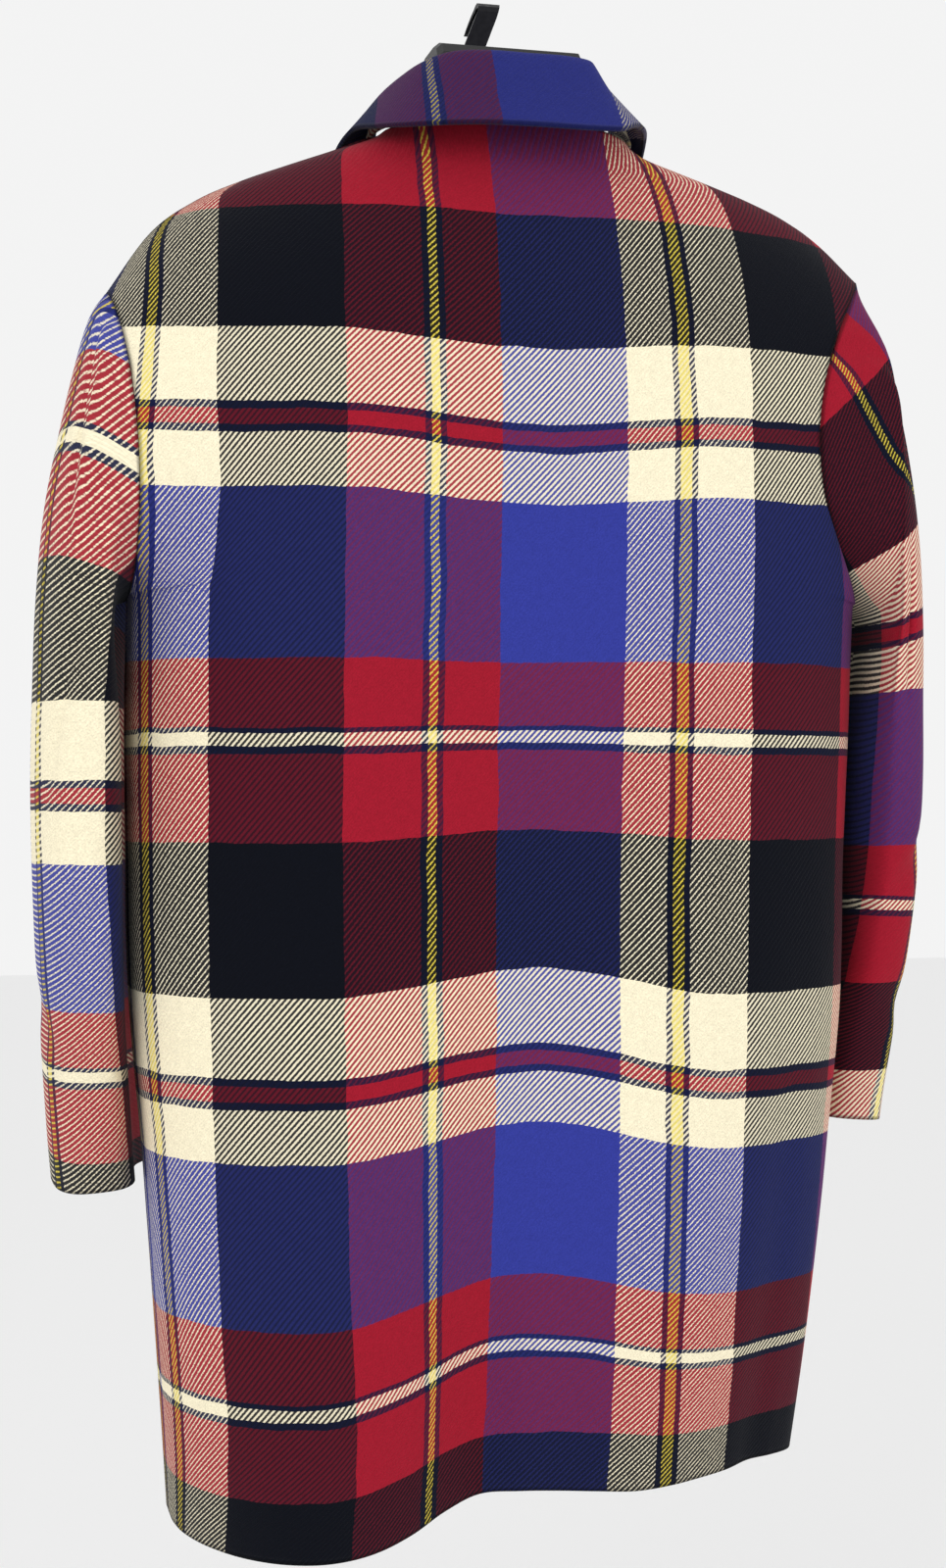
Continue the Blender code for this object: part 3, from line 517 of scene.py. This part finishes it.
def plaid_wool(name, depth=1.0):
    """Brushed wool twill: two sets of dyed yarn cross, and slanting ribs show them in turn.

    A depth below 1 darkens the whole cloth, as painted shade."""
    made, tree, shader = surface(name)
    cloth = add(tree, "ShaderNodeUVMap", uv_map="cloth").outputs[0]
    wander = noise(tree, cloth, WANDER, 7.0, 0.66)["Color"]
    pull = add(tree, "ShaderNodeVectorMath", {0: wander, 1: (0.5, 0.5, 0.5)}, operation="SUBTRACT")
    pull = add(tree, "ShaderNodeVectorMath", {0: pull.outputs[0], "Scale": STRAY}, operation="SCALE")
    laid = add(tree, "ShaderNodeVectorMath", {0: cloth, 1: pull.outputs[0]}, operation="ADD")
    axes = add(tree, "ShaderNodeSeparateXYZ", {0: laid.outputs[0]}).outputs
    warp = band_colour(tree, axes["X"], WARP_BANDS)
    weft = band_colour(tree, axes["Y"], WEFT_BANDS)

    # The warp lies over the weft along each rib, and loose fibres make the rib's sides uneven
    fuzz = noise(tree, cloth, FIBRES, 2.0, 0.6)["Fac"]
    nap = noise(tree, cloth, TUFTS, 3.0)["Fac"]
    run = add(tree, "ShaderNodeUVMap", uv_map="ribs").outputs[0]
    run = add(tree, "ShaderNodeSeparateXYZ", {0: run}).outputs
    place = worked(tree, "ADD", run["X"], worked(tree, "MULTIPLY", run["Y"], 1 / RIB_SLOPE))
    ribs = worked(tree, "SINE", worked(tree, "MULTIPLY", place, 2 * math.pi / RIB))
    ribs = worked(tree, "ADD", ribs, ranged(tree, fuzz, (0.3, 0.7), (-0.50, 0.50)))
    pale = [add(tree, "ShaderNodeRGBToBW", {"Color": yarn}).outputs[0] for yarn in (warp, weft)]
    unlike = worked(tree, "SUBTRACT", *pale)
    ribs = worked(tree, "MULTIPLY_ADD", unlike, -PALE_SINKS, ribs)
    over = ranged(tree, ribs, (-0.12, 0.66), (0.02, 0.97), "SMOOTHSTEP")
    ribbed = mixed(tree, over, weft, warp)

    # Fulled cloth also blends the two colours, most where both are dark
    thin_warp = add(tree, "ShaderNodeGamma", {"Color": warp, "Gamma": 1 - WEFT_SHARE})
    thin_weft = add(tree, "ShaderNodeGamma", {"Color": weft, "Gamma": WEFT_SHARE})
    fulled = add(tree, "ShaderNodeVectorMath", {0: thin_warp.outputs[0], 1: thin_weft.outputs[0]},
                 operation="MULTIPLY")
    blur = ranged(tree, worked(tree, "ABSOLUTE", unlike), (0.05, 0.5), (0.80, 0.10))
    woven = mixed(tree, blur, ribbed, fulled.outputs[0])

    # Tufts and fibres vary the shade, and painted shade darkens the grooves along each piece's edges,
    # where the seams lie
    # A depth below 1 darkens the whole cloth here, as painted shade
    tone = worked(tree, "MULTIPLY", ranged(tree, nap, (0.3, 0.7), (0.95 * depth, 1.04 * depth)),
                  ranged(tree, fuzz, (0.35, 0.75), (0.88, 1.18)))
    edge = add(tree, "ShaderNodeUVMap", uv_map="edge").outputs[0]
    sides = add(tree, "ShaderNodeSeparateXYZ", {0: edge}).outputs
    seam = worked(tree, "MINIMUM", sides["X"], sides["Y"])
    seam = ranged(tree, seam, (0.0003, 0.0030), (0, 1), "SMOOTHSTEP")
    # Painted shade: the colour falls to 0.45 of itself at each piece's edges
    tone = worked(tree, "MULTIPLY", tone, ranged(tree, seam, (0, 1), (0.45, 1.0)))
    final = add(tree, "ShaderNodeVectorMath", {0: woven, "Scale": tone}, operation="SCALE")
    tree.links.new(final.outputs[0], shader.inputs["Base Color"])

    height = worked(tree, "MULTIPLY", over, 0.55)
    for part, share in ((fuzz, 0.9), (nap, 0.8), (seam, 3.0)):
        height = worked(tree, "MULTIPLY_ADD", part, share, height)
    raised(tree, shader, height, 0.7, 0.0005)
    shader.inputs["Roughness"].default_value = 0.92
    shader.inputs["Specular IOR Level"].default_value = 0.12
    shader.inputs["Sheen Weight"].default_value = 0.05
    shader.inputs["Sheen Roughness"].default_value = 0.4
    return made


wool = plaid_wool("Wool twill, brushed")

# Where the plaid's bands start on the back, across from the centre and down from the hook
BACK_ACROSS = 0.198
BACK_DOWN = -0.1475

# Each crease: where it starts across and down, where it ends, its half width and its height
BACK_CREASES = (
    (-0.200, 0.330, -0.120, 0.520, 0.018, 0.0030),
    (0.185, 0.300, 0.120, 0.470, 0.016, -0.0025),
)


def make_back(finish):
    """The back: both halves side by side, with its folds and creases, and free edges held still."""
    left = half_panel(-1, -1)
    right = half_panel(-1, 1)
    grid = np.concatenate([left[:, :0:-1], right], axis=1)
    last = grid.shape[1] - 1
    normals = edge_fixed_normals(grid, -1, ((-1, 0), (1, last)))
    share = np.linspace(-1, 1, grid.shape[1])[None, :].repeat(grid.shape[0], 0)
    fade = 1 - np.abs(share) ** 8
    moved = folded(grid, normals, BACK_FOLDS, share)
    grid = grid + (moved - grid) * fade[:, :, None]
    normals = edge_fixed_normals(grid, -1, ((-1, 0), (1, last)))
    grid, normals = (finer(finer(values, 0), 1) for values in (grid, normals))
    normals = unit(normals)
    across = run_lengths(grid, 1)
    across = across - across[:, across.shape[1] // 2][:, None]
    down = weft_level(grid)
    grid = creased(grid, normals, across, down, BACK_CREASES)
    return cloth_piece("coat_back", grid, normals, across + BACK_ACROSS, down + BACK_DOWN, finish)


back = make_back(wool)
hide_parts("back")
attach(back, "root")

# The two fronts, cut from the same cloth as the back, with the plaid matched at the side seams
# and across the opening. The right one laps over the left. Each is sewn along its edge.

# How far each front reaches past the centre line, how the right one clears the left one, and
# where it comes back to its own line
LAP = 0.024
LAP_CLEARANCE = 0.0012
LAP_FADE = (0.028, 0.070)
FRONT_FOLDS = table(
    "place reach height start full",
    (0.42, 0.20, 0.011, -0.52, -0.92),
    (0.74, 0.14, -0.008, -0.55, -0.90),
)
# The same band of the plaid lies on the centre front as on the centre back
FRONT_ACROSS = 0.2125
FRONT_CREASES = {
    -1: ((-0.205, 0.330, -0.130, 0.500, 0.018, 0.0028),
         (-0.090, 0.560, -0.070, 0.800, 0.030, -0.0025)),
    1: ((0.200, 0.330, 0.135, 0.520, 0.018, 0.0028),
        (0.100, 0.540, 0.080, 0.800, 0.028, 0.0025)),
}


def make_front(name, side, finish):
    """One front: from its edge past the centre line, out to the armhole and side seam."""
    half = half_panel(1, side)
    lap = np.array([[np.interp(LAP, np.abs(row[:, 0]), row[:, k]) for k in range(3)]
                    for row in half])
    lap[:, 0] = side * -LAP
    grid = np.concatenate([lap[:, None], half], axis=1)
    last = grid.shape[1] - 1
    normals = edge_fixed_normals(grid, 1, ((side, last),))
    share = np.concatenate([[-0.1], np.linspace(0, 1, HALF_COLUMNS + 1)])
    share = share[None, :].repeat(grid.shape[0], 0)
    fade = ease(share / 0.25) * (1 - np.abs(share) ** 8)
    moved = folded(grid, normals, FRONT_FOLDS, share)
    grid = grid + (moved - grid) * fade[:, :, None]
    if side > 0:
        near, far = LAP_FADE
        lift = (0.003 + LAP_CLEARANCE) * (1 - ease((grid[:, :, 0] - near) / (far - near)))
        grid = grid + lift[:, :, None] * np.array([0, 1, 0])
    normals = edge_fixed_normals(grid, 1, ((side, last),))
    grid, normals = (finer(finer(values, 0), 1) for values in (grid, normals))
    normals = unit(normals)
    across = side * (run_lengths(grid, 1) - LAP)
    down = weft_level(grid)
    grid = creased(grid, normals, across, down, FRONT_CREASES[side])
    return cloth_piece(name, grid, normals, across + FRONT_ACROSS, down + BACK_DOWN, finish)


for side_name, side in (("left", -1), ("right", 1)):
    front = make_front(f"coat_front_{side_name}", side, wool)
    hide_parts(f"front_{side_name}")
    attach(front, "root")

# The sleeves, each a tube of the same cloth that is eased into its armhole and sewn round it,
# with one seam under the arm. They hang close to the body and swing forward at the cuffs.

SLEEVE = table(
    "station outer_x outer_z inner_x inner_z centre_y half_deep",
    (0, 0.2410, -0.175, 0.2350, -0.378, 0.007, 0.074),
    (1, 0.2525, -0.194, 0.2430, -0.382, 0.009, 0.077),
    (2, 0.2630, -0.227, 0.2455, -0.394, 0.012, 0.079),
    (3, 0.2740, -0.270, 0.2450, -0.414, 0.017, 0.080),
    (4, 0.2830, -0.318, 0.2420, -0.440, 0.022, 0.080),
    (5, 0.2880, -0.374, 0.2395, -0.472, 0.026, 0.079),
    (6, 0.2900, -0.432, 0.2385, -0.510, 0.030, 0.077),
    (7, 0.2910, -0.490, 0.2375, -0.552, 0.033, 0.075),
    (8, 0.2896, -0.550, 0.2365, -0.594, 0.037, 0.072),
    (9, 0.2866, -0.610, 0.2345, -0.636, 0.046, 0.069),
    (10, 0.2825, -0.665, 0.2310, -0.676, 0.057, 0.066),
    (11, 0.2785, -0.715, 0.2275, -0.716, 0.067, 0.063),
    (12, 0.2760, -0.742, 0.2255, -0.738, 0.070, 0.062),
)
# How square a ring is, and how far its front side is pressed to the body
SLEEVE_SQUARE = 2.8
SLEEVE_CLING = 0.030
# By side: the cuff's forward swing, how far it is drawn up, and how much flatter the sleeve
# lies at its top and at its cuff
SLEEVE_POSE = {-1: (0.000, 0.000, 0.000, 0.000), 1: (0.012, 0.026, 0.0150, -0.0025)}
# How the plaid lies down each sleeve: level of the outer fold, distance down the cloth
SLEEVE_WEFT = {
    -1: table("level cloth",
              (-0.170, 0.2100), (-0.230, 0.2690), (-0.281, 0.3135), (-0.3536, 0.3695),
              (-0.4396, 0.4525), (-0.496, 0.5055), (-0.5375, 0.5450), (-0.6265, 0.6385),
              (-0.667, 0.6830), (-0.7213, 0.7390), (-0.745, 0.7640)),
    1: table("level cloth",
             (-0.150, 0.3060), (-0.215, 0.3695), (-0.315, 0.4525), (-0.379, 0.5055),
             (-0.425, 0.5450), (-0.529, 0.6385), (-0.5686, 0.6830), (-0.621, 0.7390),
             (-0.680, 0.8220), (-0.720, 0.8620)),
}
# How steeply the weft lines slope to the body at the top, and the levels where that fades
SLEEVE_SLOPE = {-1: (0.50, -0.30, -0.46), 1: (0.74, -0.33, -0.47)}
# Where the plaid's repeat lies at the sleeve's outer fold, and its share of the level distance
# round from there, over the back to the seam under the arm
SLEEVE_WARP = {-1: (0.2653, 0.74), 1: (0.196, -1.0)}
# In the right sleeve's head the grain is laid by place, fully above the second of these levels,
# and leans to the body by a share of the height
HEAD_LEVELS = (-0.325, -0.275)
HEAD_LAID = {-1: 0.0, 1: 1.0}
HEAD_LEAN = 0.20
SEAM_GAP = 0.0003
# Creases as on the back, with their places across as shares of the way round the sleeve
SLEEVE_CREASES = {
    -1: (
        (0.10, 0.205, 0.16, 0.330, 0.010, -0.0040),
        (0.17, 0.210, 0.20, 0.350, 0.012, 0.0035),
        (0.24, 0.400, 0.10, 0.500, 0.016, -0.0030),
        (0.30, 0.560, 0.16, 0.600, 0.016, -0.0028),
        (-0.10, 0.620, 0.12, 0.650, 0.016, -0.0028),
        (-0.20, 0.230, -0.26, 0.400, 0.014, -0.0035),
    ),
    1: (
        (0.16, 0.205, 0.19, 0.300, 0.012, -0.0030),
        (0.24, 0.340, 0.26, 0.430, 0.010, -0.0045),
        (0.29, 0.340, 0.32, 0.430, 0.012, 0.0030),
        (0.10, 0.520, 0.28, 0.560, 0.014, -0.0035),
        (0.08, 0.640, 0.26, 0.625, 0.014, -0.0030),
        (-0.20, 0.230, -0.26, 0.400, 0.014, -0.0035),
    ),
}


def level_round(grid):
    """Level distance round each ring from the outer fold, whose grain hangs straight down."""
    closed = np.concatenate([grid, grid[:, :1]], axis=1)[:, :, :2]
    steps = np.linalg.norm(np.diff(closed, axis=1), axis=2)
    lengths = np.pad(np.cumsum(steps, axis=1), ((0, 0), (1, 0)))
    return lengths - lengths[:, lengths.shape[1] // 2][:, None]


def make_sleeve(name, side, finish):
    """A tube of rings from the armhole to the cuff, flattened beside the body."""
    swing, lift, slim_top, slim_cuff = SLEEVE_POSE[side]
    count = 2 * ARM_ROWS
    # The rings start at the seam under the arm, and go over the front to the outer fold
    places = np.arange(count) / count - 0.5
    angles = [2 * math.pi * place % (2 * math.pi) for place in places]
    first, first_normals = [], []
    for angle in angles:
        face = -1 if angle <= math.pi else 1
        turn = angle if angle <= math.pi else 2 * math.pi - angle
        normal = armhole_normal(turn, face, side)
        along = np.array([side, 0, 0.0])
        along = unit(along - along.dot(normal) * normal)
        first_normals.append(normal)
        first.append(armhole(turn, face, side) + SEAM_GAP * along)
    rings = [np.array(first)]
    head = armhole(0, -1, side) - np.array([side * SLEEVE["outer_x"][0], 0, SLEEVE["outer_z"][0]])
    for i in range(1, len(SLEEVE["station"])):
        row = {key: values[i] for key, values in SLEEVE.items()}
        down = ease((i - 2) / (len(SLEEVE["station"]) - 3))
        outer_x = row["outer_x"] - slim_top - (slim_cuff - slim_top) * down
        outer = np.array([side * outer_x, 0, row["outer_z"] + lift * down])
        outer += max(1 - i / 3, 0) * np.array([head[0], 0, head[2]])
        inner = np.array([side * row["inner_x"], 0, row["inner_z"] + lift * down])
        centre = (outer + inner) / 2 + np.array([0, row["centre_y"] + swing * down, 0])
        ring = []
        for angle in angles:
            c, s = math.cos(angle), math.sin(angle)
            a = math.copysign(abs(c) ** (2 / SLEEVE_SQUARE), c)
            b = math.copysign(abs(s) ** (2 / SLEEVE_SQUARE), s)
            cling = side * SLEEVE_CLING * ease((i - 1) / 2) * max(-b, 0) ** 2 * (1 - max(a, 0))
            point = centre + a * (outer - inner) / 2
            ring.append(point - np.array([cling, b * row["half_deep"], 0]))
        rings.append(np.array(ring))
    grid = np.array(rings)
    normals = grid_normals(grid, ring=True)
    if np.dot(normals[8][count // 2], (side, 0, 0)) < 0:
        normals = -normals
    normals[0] = first_normals
    grid, normals = (finer(finer(values, 0), 1, closed=True) for values in (grid, normals))
    normals = unit(normals)
    columns = grid.shape[1]
    place = np.linspace(-0.5, 0.5, columns + 1)[None, :].repeat(grid.shape[0], 0)
    # The plaid's lines slope to the body, and its grain runs down from the outer fold
    slope, steep, level_off = SLEEVE_SLOPE[side]
    height = np.concatenate([grid[:, :, 2], grid[:, :1, 2]], axis=1)
    wrapped = np.concatenate([grid, grid[:, :1]], axis=1)
    fold = grid[::-1, columns // 2]
    fold_x = np.interp(height, fold[:, 2], fold[:, 0])
    inwards = side * (fold_x - wrapped[:, :, 0])
    level = height + slope * inwards * (1 - ease((steep - height) / (steep - level_off)))
    start, share = SLEEVE_WARP[side]
    head_from, head_to = HEAD_LEVELS
    in_head = HEAD_LAID[side] * ease((height - head_from) / (head_to - head_from))
    fold_y = np.interp(height, fold[:, 2], fold[:, 1])
    off_fold = np.abs(inwards) + 0.5 * np.abs(fold_y - wrapped[:, :, 1])
    round_arm = level_round(grid) * (1 - in_head) + np.sign(place) * off_fold * in_head
    u = start + share * round_arm + in_head * HEAD_LEAN * (height - head_from)
    v = read(SLEEVE_WEFT[side], "cloth", "level", level)
    # The ribs are laid by how the cloth runs over the back of the arm, then over its front
    sideways = np.where(place < 0, 2 * fold_x - wrapped[:, :, 0], wrapped[:, :, 0])
    grid = creased(grid, normals, place[:, :-1], -height[:, :-1], SLEEVE_CREASES[side])
    return cloth_piece(name, grid, normals, u, v, finish, ring=True, ribs=(sideways, v))


for side_name, side in (("left", -1), ("right", 1)):
    sleeve = make_sleeve(f"coat_sleeve_{side_name}", side, wool)
    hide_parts(f"sleeve_{side_name}")
    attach(sleeve, "root")

# The collar, a band of the same cloth sewn into the neck seam, which stands, rolls over and
# falls. Its plaid is matched to the back below it, on one of the blue bands.

COLLAR = table(
    "station fold_x fold_y fold_z edge_x edge_y edge_z",
    (0.00, 0.000, -0.064, -0.046, 0.000, -0.098, -0.098),
    (0.18, 0.040, -0.060, -0.046, 0.052, -0.090, -0.096),
    (0.36, 0.063, -0.036, -0.050, 0.086, -0.058, -0.087),
    (0.50, 0.075, -0.004, -0.058, 0.098, 0.000, -0.079),
    (0.66, 0.075, 0.040, -0.079, 0.102, 0.060, -0.104),
    (0.82, 0.053, 0.080, -0.104, 0.085, 0.116, -0.152),
    (0.97, 0.012, 0.100, -0.120, 0.040, 0.138, -0.188),
)
COLLAR_END = 0.97
COLLAR_ROLL = 0.006
# Where the plaid's bands start down from the fold
COLLAR_DOWN = 0.186
# On the right the collar is drawn to the centre: how far, at which station, over what reach
COLLAR_DRAWN = (0.011, 0.34, 0.12)
# On the left the fall's edge lies down on the shoulder: how far, at which station, over what reach
COLLAR_LAID = (0.007, -0.36, 0.16)


def make_collar(finish):
    """The collar: up from the neck seam, over the fold line and down to the fall's edge."""
    half = np.linspace(0, 1, 2 * NECK_COLUMNS + 1)
    half[-1] = COLLAR_END
    stations = np.concatenate([-half[:0:-1], half])
    rows = []
    for station in stations:
        side = 1 if station >= 0 else -1
        at = abs(station)
        neck = np.array([float(read(NECK, axis, "station", at)) for axis in "xyz"])
        fold, edge = (
            np.array([float(read(COLLAR, f"{line}_{axis}", "station", at)) for axis in "xyz"])
            for line in ("fold", "edge")
        )
        drawn, drawn_at, drawn_reach = COLLAR_DRAWN
        pull = drawn * math.exp(-(((station - drawn_at) / drawn_reach) ** 2))
        fold[0] -= pull
        edge[0] -= pull
        edge[2] += 0.3 * pull
        laid, laid_at, laid_reach = COLLAR_LAID
        edge[2] -= laid * math.exp(-(((station - laid_at) / laid_reach) ** 2))
        outward = unit(np.array([neck[0], neck[1] - 0.01, 0]))
        neck = neck - 0.0006 * outward
        neck[2] += 0.0012 + 0.0030 * ease((at - 0.5) / 0.3)
        over = unit(np.array([edge[0] - neck[0], edge[1] - neck[1], 0]))
        shoulder = fold + over * COLLAR_ROLL - np.array([0, 0, 0.004])
        # Up from the seam to the fold, round it, and down the fall to its edge
        line = [neck, (neck + fold) / 2, fold - over * 0.002 - np.array([0, 0, 0.003]), fold,
                shoulder, shoulder + (edge - shoulder) * 0.4, shoulder + (edge - shoulder) * 0.7,
                edge]
        line = np.array(line)
        line[:, 0] *= side
        rows.append(line)
    grid = np.array(rows).transpose(1, 0, 2)
    normals = grid_normals(grid)
    if normals[-1][2 * NECK_COLUMNS][1] > 0:
        normals = -normals
    grid, normals = (finer(finer(values, 0), 1) for values in (grid, normals))
    normals = unit(normals)
    across = run_lengths(grid, 1)
    across = across - across[:, across.shape[1] // 2][:, None]
    fold_row = 3 * FINE
    down = run_lengths(grid, 0)
    down = down - down[fold_row][None, :]
    return cloth_piece("coat_collar", grid, normals, across + BACK_ACROSS, down + COLLAR_DOWN, finish)


# The collar's cloth is darkened to 0.55 all over, as painted shade
collar = make_collar(plaid_wool("Wool twill, brushed, painted shade", depth=0.55))
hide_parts("collar")
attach(collar, "root")

# The hanger, one moulding of black plastic: a tall neck block between two broad arms. Its skin
# comes from a mould with a fine spark-eroded grain, so it is matt with a faint broken shine.

plastic, tree, shader = surface("Black polypropylene, moulded with a fine grain")
shader.inputs["Base Color"].default_value = linear("#0C0C0E")
shader.inputs["Roughness"].default_value = 0.48
shader.inputs["IOR"].default_value = 1.49
place = add(tree, "ShaderNodeTexCoord").outputs["Object"]
raised(tree, shader, noise(tree, place, 1400.0, 2.0)["Fac"], 0.35, 0.0002)
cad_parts["hanger"].material_slots[0].material = plastic

# The hook, a strip of flat steel bent over the rod and blackened in hot oil, which leaves a
# dark, slightly uneven satin skin with the rolling marks still in it.

steel, tree, shader = surface("Mild steel strip, oil blackened")
shader.inputs["Metallic"].default_value = 1.0
place = add(tree, "ShaderNodeTexCoord").outputs["Object"]
oiled = noise(tree, place, 260.0, 3.0)["Fac"]
tone = mixed(tree, oiled, linear("#17171A"), linear("#2C2C30"))
tree.links.new(tone, shader.inputs["Base Color"])
skin = ranged(tree, oiled, (0.3, 0.7), (0.38, 0.55))
tree.links.new(skin, shader.inputs["Roughness"])
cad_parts["hanger_hook"].material_slots[0].material = steel

# The toggles, turned from beech that is stained dark and waxed: long soft grain runs from tip
# to tip, and the wax gives it a low shine.

wood, tree, shader = surface("Beech, turned, stained and waxed")
place = add(tree, "ShaderNodeTexCoord").outputs["Object"]
drawn_out = add(tree, "ShaderNodeMapping", {"Vector": place, "Scale": (1.0, 1.0, 0.06)})
grain = noise(tree, drawn_out.outputs[0], 900.0, 4.0)["Fac"]
tone = add(tree, "ShaderNodeValToRGB", {"Fac": grain})
tone.color_ramp.elements[0].position = 0.35
tone.color_ramp.elements[0].color = linear("#2A150B")
tone.color_ramp.elements[1].position = 0.68
tone.color_ramp.elements[1].color = linear("#5E3519")
tree.links.new(tone.outputs["Color"], shader.inputs["Base Color"])
raised(tree, shader, grain, 0.25, 0.0002)
shader.inputs["Roughness"].default_value = 0.34
shader.inputs["Coat Weight"].default_value = 0.15
for number in (1, 2, 3):
    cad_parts[f"toggle_{number}"].material_slots[0].material = wood

# The loops, black braided cord two to a toggle. The strands cross in a small diamond pattern
# over its round surface, drawn from the direction round and along the cord.

cord, tree, shader = surface("Polyester cord, braided")
place = add(tree, "ShaderNodeTexCoord").outputs["Object"]
turned = add(tree, "ShaderNodeMapping", {"Vector": place, "Scale": (-1.0, 1.0, 1.0)}).outputs[0]
rising, falling = (
    add(tree, "ShaderNodeTexWave", {"Vector": way, "Scale": 160.0, "Distortion": 0.6},
        bands_direction="DIAGONAL").outputs["Fac"]
    for way in (place, turned)
)
strands = worked(tree, "MAXIMUM", rising, falling)
# Painted shade: the cord is darker in the low gaps between its raised strands
tone = mixed(tree, strands, linear("#050507"), linear("#1E1E24"))
tree.links.new(tone, shader.inputs["Base Color"])
raised(tree, shader, strands, 0.8, 0.0006)
shader.inputs["Roughness"].default_value = 0.75
for number in (1, 2, 3):
    for side_name in ("left", "right"):
        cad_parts[f"toggle_loop_{side_name}_{number}"].material_slots[0].material = cord

# The patches, black leather cut to a rounded end and sewn down over the ends of the loops with
# waxed thread. The grain is pebbled, and stitches run along the edge.

leather, tree, shader = surface("Cowhide, black, pebbled")
shader.inputs["Base Color"].default_value = linear("#121013")
shader.inputs["Roughness"].default_value = 0.52
place = add(tree, "ShaderNodeTexCoord").outputs["Object"]
pebbles = add(tree, "ShaderNodeTexVoronoi", {"Vector": place, "Scale": 850.0}, feature="SMOOTH_F1")
raised(tree, shader, pebbles.outputs["Distance"], 0.5, 0.0004).invert = True
thread, _, shader = surface("Linen thread, waxed")
shader.inputs["Base Color"].default_value = linear("#2A2730")
shader.inputs["Roughness"].default_value = 0.6
# A stitch's length, the gap to the next, and how far in from the patch's edge they run
STITCH = 0.0032
STITCH_GAP = 0.0012
STITCH_INSET = 0.003
THREAD_RADIUS = 0.00035


def stitch_line(patch):
    """Places along a line a little inside the patch's outline, on its outer face."""
    points = np.array([v.co for v in patch.data.vertices])
    low, high = points.min(axis=0), points.max(axis=0)
    middle = (low + high) / 2
    half = (high - low) / 2 - STITCH_INSET
    angle = np.linspace(0, 2 * math.pi, 240, endpoint=False)
    shape = [np.sign(f(angle)) * np.abs(f(angle)) ** 0.45 for f in (np.cos, np.sin)]
    line = np.stack([middle[0] + half[0] * shape[0], 0 * angle, middle[2] + half[2] * shape[1]], 1)
    line = evenly(np.concatenate([line, line[:1]]), 481)
    for point in line:
        hit, place, _, _ = patch.ray_cast((point[0], high[1] + 0.02, point[2]), (0, -1, 0))
        point[1] = place[1] if hit else np.nan
    return line[~np.isnan(line[:, 1])]


for number in (1, 2, 3):
    for side_name in ("left", "right"):
        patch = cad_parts[f"toggle_patch_{side_name}_{number}"]
        patch.material_slots[0].material = leather
        line = stitch_line(patch)
        steps = np.linalg.norm(np.diff(line, axis=0), axis=1)
        at = np.concatenate([[0], np.cumsum(steps)])
        sewn = bpy.data.curves.new(f"patch_stitches_{side_name}_{number}", "CURVE")
        sewn.dimensions = "3D"
        sewn.bevel_depth = THREAD_RADIUS
        sewn.bevel_resolution = 1
        sewn.use_fill_caps = True
        for start in np.arange(0, at[-1] - STITCH, STITCH + STITCH_GAP):
            spline = sewn.splines.new("POLY")
            spline.points.add(2)
            for point, along, up in zip(spline.points, (0, 0.5, 1), (0, 1, 0)):
                spot = [np.interp(start + along * STITCH, at, line[:, k]) for k in range(3)]
                point.co = (spot[0], spot[1] + 0.6 * THREAD_RADIUS * up, spot[2], 1)
        sewn.materials.append(thread)
        stitches = bpy.data.objects.new(f"patch_stitches_{side_name}_{number}", sewn)
        bpy.context.collection.objects.link(stitches)
        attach(stitches, "root")

# The room: a pale matt floor well below the hem, even light from all round, and a broad soft
# light from each side, so that the weave shows and the folds are shaded gently.

FLOOR = -1.32
FLOOR_REACH = 9
floor_mesh = bpy.data.meshes.new("floor")
floor_corners = [(x * FLOOR_REACH, y * FLOOR_REACH, FLOOR)
                 for x, y in ((-1, -1), (1, -1), (1, 1), (-1, 1))]
floor_mesh.from_pydata(floor_corners, [], [(0, 1, 2, 3)])
paint, _, shader = surface("Floor paint, matt")
shader.inputs["Base Color"].default_value = linear("#F4F4F4")
shader.inputs["Roughness"].default_value = 0.9
floor_mesh.materials.append(paint)
floor = bpy.data.objects.new("floor", floor_mesh)
bpy.context.collection.objects.link(floor)

room = bpy.data.worlds.new("room")
room.use_nodes = True
room.node_tree.nodes["Background"].inputs["Color"].default_value = linear("#FFFFFF")
room.node_tree.nodes["Background"].inputs["Strength"].default_value = 0.90
bpy.context.scene.world = room

# Each light's place, size, power and turn
for name, place, size, power, turn in (
    ("light_left", (-1.7, -2.2, 0.6), 1.6, 16, (62, 0, -36)),
    ("light_right", (1.9, -1.9, 0.1), 1.6, 8, (75, 0, 42)),
):
    lamp = bpy.data.lights.new(name, "AREA")
    lamp.shape = "SQUARE"
    lamp.size = size
    lamp.energy = power
    holder = bpy.data.objects.new(name, lamp)
    holder.location = place
    holder.rotation_euler = [math.radians(a) for a in turn]
    bpy.context.collection.objects.link(holder)

bpy.context.scene.view_settings.view_transform = "Standard"

# The camera stands level behind the coat and to its left, and looks a little to the right
camera = bpy.data.cameras.new("camera")
camera.sensor_fit = "VERTICAL"
camera.sensor_height = 36
camera.lens = 54.43
viewpoint = bpy.data.objects.new("camera", camera)
viewpoint.location = (-0.3713, -1.4533, -0.490)
viewpoint.rotation_euler = (math.radians(90), 0, math.radians(-14))
bpy.context.collection.objects.link(viewpoint)
bpy.context.scene.camera = viewpoint
